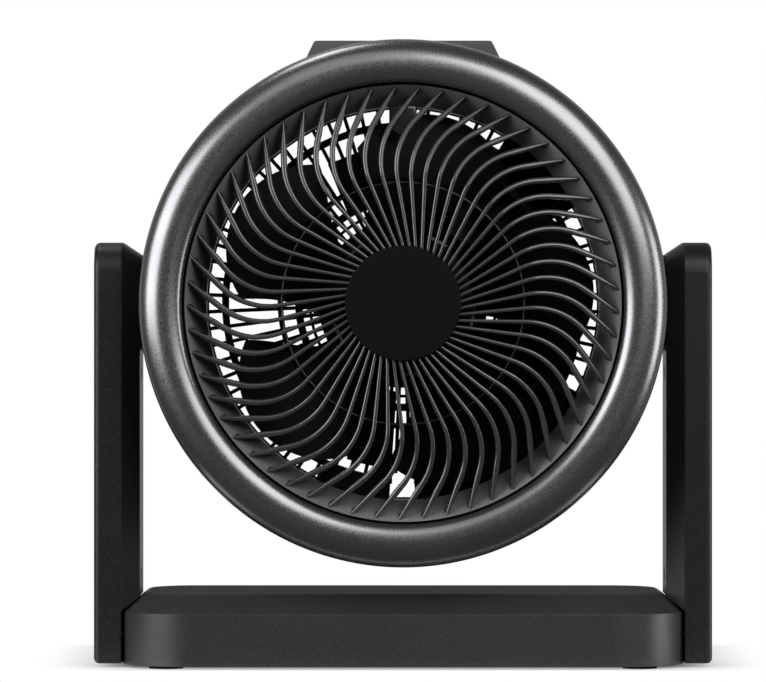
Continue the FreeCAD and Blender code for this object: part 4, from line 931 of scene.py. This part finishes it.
@dataclass
class CrossScrews:
    """Alike screws with a domed head and a cross recess, which stand for one packed group."""

    node: str
    body: str
    seats: list[Place]
    outward: list[Place]
    grip: float
    finish: Finish
    head_radius: float = 3.6
    head_height: float = 2.4
    shank_radius: float = 1.9
    recess_half: float = 0.55
    recess_reach: float = 2.1
    recess_depth: float = 1.3
    recess_slope: float = 0.35
    point_radius: float = 0.05
    turn_step: float = 37.0

    def screw(self, rings: int = 30, spokes: int = 72) -> Skin:
        """One screw about the Z axis, with its head's underside at zero.

        The head is a ball cap, less a cross: two bars whose depth ramps up across their outline. The same
        loops go on down the shank to a cone point.

        Args:
            rings: loops from the head's middle to its edge.
            spokes: points on each loop.

        Returns:
            A closed skin.
        """
        radius = np.linspace(self.point_radius, self.head_radius, rings)[:, None]
        turn = full_turn(spokes)[None, :]
        x = radius * np.cos(turn)
        y = radius * np.sin(turn)
        ball = (self.head_radius**2 + self.head_height**2) / (2.0 * self.head_height)
        dome = np.sqrt(ball**2 - radius**2) - (ball - self.head_height)
        bars = []
        for along, over in ((x, y), (y, x)):
            inside = np.minimum(self.recess_half - np.abs(over), self.recess_reach - np.abs(along))
            bars.append(np.clip(0.5 + inside / self.recess_slope, 0.0, 1.0))
        height = dome - self.recess_depth * np.maximum(*bars)
        head = np.stack([x, y, height], axis=-1)
        under = np.array(
            [
                (self.shank_radius, 0.0),
                (self.shank_radius, -self.grip + self.shank_radius),
                (self.point_radius, -self.grip),
            ]
        )
        round_under = under[:, :1] * np.stack([np.cos(turn[0]), np.sin(turn[0])])[:, None, :]
        tail = np.stack([*round_under, np.broadcast_to(under[:, 1:], round_under.shape[1:])], axis=-1)
        return capped_tube(np.concatenate([head, tail]))

    def build(self, palette: Palette) -> None:
        """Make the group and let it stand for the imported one.

        Args:
            palette: the materials.
        """
        screw = self.screw()
        group = [
            screw.turned(self.turn_step * number).stood(seat, outward)
            for number, (seat, outward) in enumerate(zip(self.seats, self.outward))
        ]
        piece = make_piece(f"cross_{self.node}", [join_all(group)])
        palette.paint(piece, self.finish)
        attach(piece, self.body)
        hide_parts(self.node)


@dataclass
class Fasteners:
    """Screws that show: under the base, on the arms' inner covers and round the rear guard."""

    base_x: float = 112.0
    base_front: float = -14.0
    base_rear: float = 36.0
    base_seat: float = 2.9
    base_grip: float = 9.0
    cover_seat: float = 138.9
    cover_levels: tuple[float, float] = (47.0, 152.0)
    cover_grip: float = 14.8
    guard_circle: float = 108.4
    guard_seat: float = 31.0
    guard_turn: float = 45.0
    guard_count: int = 4
    guard_grip: float = 11.0

    def build(self, palette: Palette) -> None:
        """Make each group.

        Args:
            palette: the materials.
        """
        base = [
            (x, y, self.base_seat)
            for x in (-self.base_x, self.base_x)
            for y in (self.base_front, self.base_rear)
        ]
        down = [(0.0, 0.0, -1.0)] * len(base)
        covers = [(side * self.cover_seat, 0.0, level) for side in (-1.0, 1.0) for level in self.cover_levels]
        inward = [(-math.copysign(1.0, x), 0.0, 0.0) for x, _, _ in covers]
        turns = np.radians(self.guard_turn + 360.0 / self.guard_count * np.arange(self.guard_count))
        guard = [
            (self.guard_circle * math.cos(t), self.guard_seat, AXIS_HEIGHT + self.guard_circle * math.sin(t))
            for t in turns
        ]
        back = [(0.0, 1.0, 0.0)] * len(guard)
        for group in (
            CrossScrews("base_screws", "stand", base, down, self.base_grip, ZINC_FINISH),
            CrossScrews("arm_cover_screws", "stand", covers, inward, self.cover_grip, BLACK_STEEL_FINISH),
            CrossScrews("guard_screws", "head", guard, back, self.guard_grip, BLACK_STEEL_FINISH),
        ):
            group.build(palette)


@dataclass
class Controls:
    """Printed symbols on the push buttons, and the panel's light pipes."""

    button_top: float = 323.7
    panel_top: float = 323.2
    row: float = -9.0
    pitch: float = 24.5
    print_height: float = 0.05
    stroke: float = 0.55
    mark_radius: float = 2.4
    ring_start: float = 125.0
    ring_stop: float = 415.0
    ring_steps: int = 48
    bar_low: float = 0.4
    bar_rise: float = 0.5
    wave_swing: float = 0.35
    wave_pitch: float = 1.7
    wave_steps: int = 32
    long_hand: tuple[float, float] = (0.0, 1.6)
    short_hand: tuple[float, float] = (1.2, -0.7)
    pipe_row: float = 5.0
    pipe_radius: float = 1.1
    pipe_height: float = 0.35
    pipe_foot: float = 0.3
    pipe_climb: float = 88.0

    def strokes(self, paths: Sequence[tuple[Array, bool]], middle: float) -> Skin:
        """Print paths on a button's top.

        Args:
            paths: points about the button's middle, and whether each path is closed.
            middle: the button's place along X.

        Returns:
            The print as one skin.
        """
        shift = np.array([middle, self.row])
        low = self.button_top - self.print_height
        high = self.button_top + self.print_height
        return join_all([ribbon(path + shift, self.stroke, low, high, closed) for path, closed in paths])

    def power_mark(self) -> Skin:
        """Open ring with an upright bar in its gap.

        Returns:
            The print as one skin.
        """
        ring = arc_path((0.0, 0.0), self.mark_radius, self.ring_start, self.ring_stop, self.ring_steps)
        bar = np.array([(0.0, self.bar_low), (0.0, self.mark_radius + self.bar_rise)])
        return self.strokes([(ring, False), (bar, False)], 0.0)

    def mode_mark(self) -> Skin:
        """Three upright waves: y runs along the stroke and x swings as one turn of a sine.

        Returns:
            The print as one skin.
        """
        run = np.linspace(-1.0, 1.0, self.wave_steps + 1)
        wave = np.stack([self.wave_swing * np.sin(math.pi * run), self.mark_radius * run], axis=-1)
        offsets = (-self.wave_pitch, 0.0, self.wave_pitch)
        paths = [(wave + np.array([offset, 0.0]), False) for offset in offsets]
        return self.strokes(paths, -self.pitch)

    def timer_mark(self) -> Skin:
        """Clock: a full ring and two hands.

        Returns:
            The print as one skin.
        """
        ring = arc_path((0.0, 0.0), self.mark_radius, 0.0, 360.0, self.ring_steps)
        hands = np.array([self.long_hand, (0.0, 0.0), self.short_hand])
        return self.strokes([(ring, True), (hands, False)], self.pitch)

    def light_pipe(self, x: float, loops: int = 10, sides: int = 32) -> Skin:
        """Low round lens: loops of falling radius climb a flat dome.

        Args:
            x: place along X.
            loops: loops up the dome.
            sides: points on each loop.

        Returns:
            The closed lens.
        """
        climb = np.radians(np.linspace(0.0, self.pipe_climb, loops))[:, None]
        turn = full_turn(sides)[None, :]
        radius = self.pipe_radius * np.cos(climb)
        height = np.broadcast_to(self.panel_top + self.pipe_height * np.sin(climb), (loops, sides))
        dome = np.stack([x + radius * np.cos(turn), self.pipe_row + radius * np.sin(turn), height], axis=-1)
        foot = dome[:1] - np.array([0.0, 0.0, self.pipe_foot])
        return capped_tube(np.concatenate([foot, dome]))

    def build(self, palette: Palette) -> None:
        """Print the buttons and set the light pipes.

        Args:
            palette: the materials.
        """
        marks = {
            "power_button": self.power_mark(),
            "mode_button": self.mode_mark(),
            "timer_button": self.timer_mark(),
        }
        for body, skin in marks.items():
            piece = make_piece(f"{body}_print", [skin])
            palette.paint(piece, INK_FINISH)
            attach(piece, body)
        pipes = [self.light_pipe(x) for x in (-self.pitch, 0.0, self.pitch)]
        piece = make_piece("light_pipes", [join_all(pipes)], Sharpness.SOFT)
        palette.paint(piece, LENS_FINISH)
        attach(piece, "head")


def both_sides(*names: str) -> list[str]:
    """Names of the left and the right piece of each pair, from the pairs' names without a side."""
    return [f"{side}_{name}" for name in names for side in ("left", "right")]


class PackedPieces:
    """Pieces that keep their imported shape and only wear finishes."""

    finishes: dict[Finish, list[str]] = {}

    def dress(self, palette: Palette) -> None:
        """Give each piece its finish.

        Args:
            palette: the materials.
        """
        for finish, names in self.finishes.items():
            for name in names:
                palette.paint(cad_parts[name], finish)


class Shells(PackedPieces):
    """Outer mouldings: drum, guard, arms, base, fan and controls."""

    finishes = {
        ARM_FINISH: [
            *both_sides("arm_shell", "arm_cover"),
            "rear_housing",
            "rear_guard",
            "motor_cap",
            "base_plate",
            "cord_gland",
            "fan_nut",
            "run_capacitor",
        ],
        HOUSING_FINISH: ["control_housing"],
        BASE_FINISH: ["base_housing"],
        FAN_FINISH: ["fan_blades"],
        PANEL_FINISH: ["control_panel"],
        BUTTON_FINISH: ["mode_button", "power_button", "timer_button"],
        RUBBER_FINISH: ["rubber_feet"],
    }


class InnerWorks(PackedPieces):
    """Pieces inside: motor, heater packs, boards, pivots and fasteners."""

    finishes = {
        PHENOLIC_FINISH: [
            "large_heater_frame",
            "small_heater_frame",
            "thermal_cutout",
            "tip_over_switch",
        ],
        FIN_STOCK_FINISH: ["large_heater_element", "small_heater_element"],
        ACETAL_FINISH: both_sides("pivot_bush"),
        FIBRE_FINISH: both_sides("friction_washer"),
        BOARD_FINISH: ["power_board", "control_board"],
        IRON_FINISH: ["ballast_plate"],
        ZINC_FINISH: [
            "arm_screws",
            "pivot_screws",
            "bezel_screws",
            "motor_screws",
            "heater_screws",
            *both_sides("pivot_axle", "retaining_washer"),
            "motor_shaft",
        ],
        CORE_FINISH: ["motor_stator", "motor_rotor"],
        CAST_FINISH: ["motor_rear_shield", "motor_front_shield"],
        BRONZE_FINISH: ["rear_bearing", "front_bearing"],
        COPPER_FINISH: ["motor_windings"],
    }


# Picture


@dataclass(frozen=True)
class Softbox:
    """A rectangular lamp: where it stands, what it looks at, its size in metres and its power in watts."""

    name: str
    place: Place
    size: tuple[float, float]
    power: float
    target: Place = (0.0, 0.0, 0.17)

    def build(self) -> None:
        """Put the lamp into the scene."""
        lamp = bpy.data.lights.new(self.name, "AREA")
        lamp.shape = "RECTANGLE"
        lamp.size, lamp.size_y = self.size
        lamp.energy = self.power
        holder = bpy.data.objects.new(self.name, lamp)
        holder.location = self.place
        away = Vector(self.place) - Vector(self.target)
        holder.rotation_euler = away.to_track_quat("Z", "Y").to_euler()
        holder.visible_camera = False
        bpy.context.scene.collection.objects.link(holder)


@dataclass
class Studio:
    """Camera, floor, soft lamps and a plain backdrop."""

    distance: float = 3.2
    front: float = 0.065
    focal_pixels: float = 6266.0
    picture: tuple[int, int] = (766, 682)
    axis_pixel: tuple[float, float] = (403.0, 303.3)
    sensor: float = 36.0
    view_end: float = 60.0
    white: str = "#ffffff"
    ambient: float = 0.08
    backlight: float = 0.5
    backlight_range: tuple[float, float] = (0.4, 0.9)
    white_range: tuple[float, float] = (0.985, 0.996)
    paper: str = "#dedede"
    paper_roughness: float = 0.9
    paper_specular: float = 0.1
    floor_low: tuple[float, float] = (-0.22, -0.06)
    floor_high: tuple[float, float] = (0.22, 0.24)
    floor_points: int = 13
    shade_middle: Place = (0.0, 0.075, 0.0)
    shade_half: Place = (0.125, 0.085, 0.0)
    shade_fade: float = 0.07
    lamps: tuple[Softbox, ...] = (
        Softbox("left_softbox", (-1.25, -0.75, 0.52), (1.2, 1.0), 18.0),
        Softbox("right_front_softbox", (0.77, -1.3, 0.96), (1.2, 1.2), 16.6),
        Softbox("right_side_softbox", (1.49, -0.15, 0.2), (0.6, 0.9), 7.5),
        Softbox("rear_softbox", (-0.45, 0.39, 1.57), (0.5, 0.4), 3.4),
        Softbox("top_softbox", (-0.27, -1.07, 1.21), (1.0, 1.0), 2.5),
    )

    def camera(self) -> None:
        """Stand the camera on the head's axis, with its shift set so that the axis falls on its pixel."""
        width, height = self.picture
        lens = bpy.data.cameras.new("camera")
        lens.sensor_width = self.sensor
        lens.lens = self.focal_pixels * self.sensor / width
        lens.shift_x = -(self.axis_pixel[0] - width / 2.0) / width
        lens.shift_y = (self.axis_pixel[1] - height / 2.0) / width
        lens.clip_end = self.view_end
        holder = bpy.data.objects.new("camera", lens)
        holder.location = (0.0, -(self.distance + self.front), AXIS_HEIGHT * MM)
        holder.rotation_euler = (math.pi / 2.0, 0.0, 0.0)
        bpy.context.scene.collection.objects.link(holder)
        bpy.context.scene.camera = holder

    def seen_rays(self, tree: Tree) -> Socket:
        """Tell rays that the picture, a mirror or a clear piece sees from rays that only light.

        Args:
            tree: the node tree to work in.

        Returns:
            A socket that is 1 for camera, glossy and transmission rays.
        """
        rays = add_node(tree, "ShaderNodeLightPath").outputs
        most = {"operation": "MAXIMUM"}
        seen = rays["Is Camera Ray"]
        for kind in ("Is Glossy Ray", "Is Transmission Ray"):
            seen = add_node(tree, "ShaderNodeMath", most, n0=seen, n1=rays[kind]).outputs[0]
        return seen

    def floor(self) -> None:
        """Lay a pale paper sheet that keeps the object's shadow, and fades to plain white round it.

        The sheet ends at the base's front, so that the bezel doesn't mirror it. The fade runs with the
        distance from a box about the footprint.
        """
        limits = zip(self.floor_low, self.floor_high)
        sides = [np.linspace(low, high, self.floor_points) / MM for low, high in limits]
        first, second = np.meshgrid(*sides, indexing="ij")
        points = np.stack([first, second, np.zeros_like(first)], axis=-1).reshape(-1, 3)
        piece = make_piece("floor", [Skin(points, [grid_faces(self.floor_points, self.floor_points)])])
        material, tree, shader = blank_material("Paper sweep, white")
        shader.inputs["Base Color"].default_value = linear(self.paper)
        shader.inputs["Roughness"].default_value = self.paper_roughness
        shader.inputs["Specular IOR Level"].default_value = self.paper_specular
        white = add_node(tree, "ShaderNodeEmission", Color=linear(self.white), Strength=1.0)
        place = add_node(tree, "ShaderNodeTexCoord").outputs["Object"]
        kind = "ShaderNodeVectorMath"
        shifted = add_node(tree, kind, {"operation": "SUBTRACT"}, n0=place, n1=self.shade_middle)
        away = add_node(tree, kind, {"operation": "ABSOLUTE"}, n0=shifted.outputs[0])
        beyond = add_node(tree, kind, {"operation": "SUBTRACT"}, n0=away.outputs[0], n1=self.shade_half)
        outside = add_node(tree, kind, {"operation": "MAXIMUM"}, n0=beyond.outputs[0], n1=(0.0, 0.0, 0.0))
        reach = add_node(tree, kind, {"operation": "LENGTH"}, n0=outside.outputs[0])
        fade = add_node(
            tree,
            "ShaderNodeMapRange",
            {"interpolation_type": "SMOOTHSTEP"},
            Value=reach.outputs["Value"],
            From_Min=0.0,
            From_Max=self.shade_fade,
        )
        share = add_node(
            tree, "ShaderNodeMath", {"operation": "MULTIPLY"}, n0=fade.outputs[0], n1=self.seen_rays(tree)
        )
        mix = add_node(
            tree, "ShaderNodeMixShader", n0=share.outputs[0], n1=shader.outputs[0], n2=white.outputs[0]
        )
        tree.links.new(mix.outputs[0], tree.nodes["Material Output"].inputs["Surface"])
        piece.data.materials.append(material)

    def backdrop(self) -> None:
        """Light the room dimly, more so from behind, and show white to the rays that the picture sees.

        Mirrors and clear pieces see the white only straight behind the object, elsewhere the dim room.
        """
        world = bpy.data.worlds.new("studio")
        bpy.context.scene.world = world
        world.use_nodes = True
        tree = world.node_tree
        dim = tree.nodes["Background"]
        dim.inputs["Color"].default_value = linear(self.white)
        white = add_node(tree, "ShaderNodeBackground", Color=linear(self.white), Strength=1.0)
        heading = add_node(tree, "ShaderNodeTexCoord").outputs["Generated"]
        behind = add_node(tree, "ShaderNodeSeparateXYZ", Vector=heading).outputs["Y"]
        glow = add_node(
            tree,
            "ShaderNodeMapRange",
            Value=behind,
            From_Min=self.backlight_range[0],
            From_Max=self.backlight_range[1],
            To_Min=self.ambient,
            To_Max=self.backlight,
        )
        tree.links.new(glow.outputs[0], dim.inputs["Strength"])
        low, high = self.white_range
        mask = add_node(tree, "ShaderNodeMapRange", Value=behind, From_Min=low, From_Max=high)
        camera_ray = add_node(tree, "ShaderNodeLightPath").outputs["Is Camera Ray"]
        ahead = add_node(tree, "ShaderNodeMath", {"operation": "MAXIMUM"}, n0=mask.outputs[0], n1=camera_ray)
        shown = add_node(
            tree, "ShaderNodeMath", {"operation": "MULTIPLY"}, n0=ahead.outputs[0], n1=self.seen_rays(tree)
        )
        mix = add_node(
            tree, "ShaderNodeMixShader", n0=shown.outputs[0], n1=dim.outputs[0], n2=white.outputs[0]
        )
        tree.links.new(mix.outputs[0], tree.nodes["World Output"].inputs["Surface"])

    def build(self) -> None:
        """Set up the picture."""
        bpy.context.scene.view_settings.view_transform = "Standard"
        self.camera()
        self.floor()
        self.backdrop()
        for lamp in self.lamps:
            lamp.build()
        LOG.info("studio: camera, floor, backdrop and %d lamps", len(self.lamps))


def main() -> None:
    """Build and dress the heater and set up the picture."""
    logging.basicConfig(level=logging.INFO, format="%(name)s: %(message)s")
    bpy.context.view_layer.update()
    palette = Palette()
    Shells().dress(palette)
    InnerWorks().dress(palette)
    Bezel().build(palette)
    SwirlGrille().build(palette)
    Fasteners().build(palette)
    Controls().build(palette)
    Studio().build()


if __name__ == "__main__":
    main()
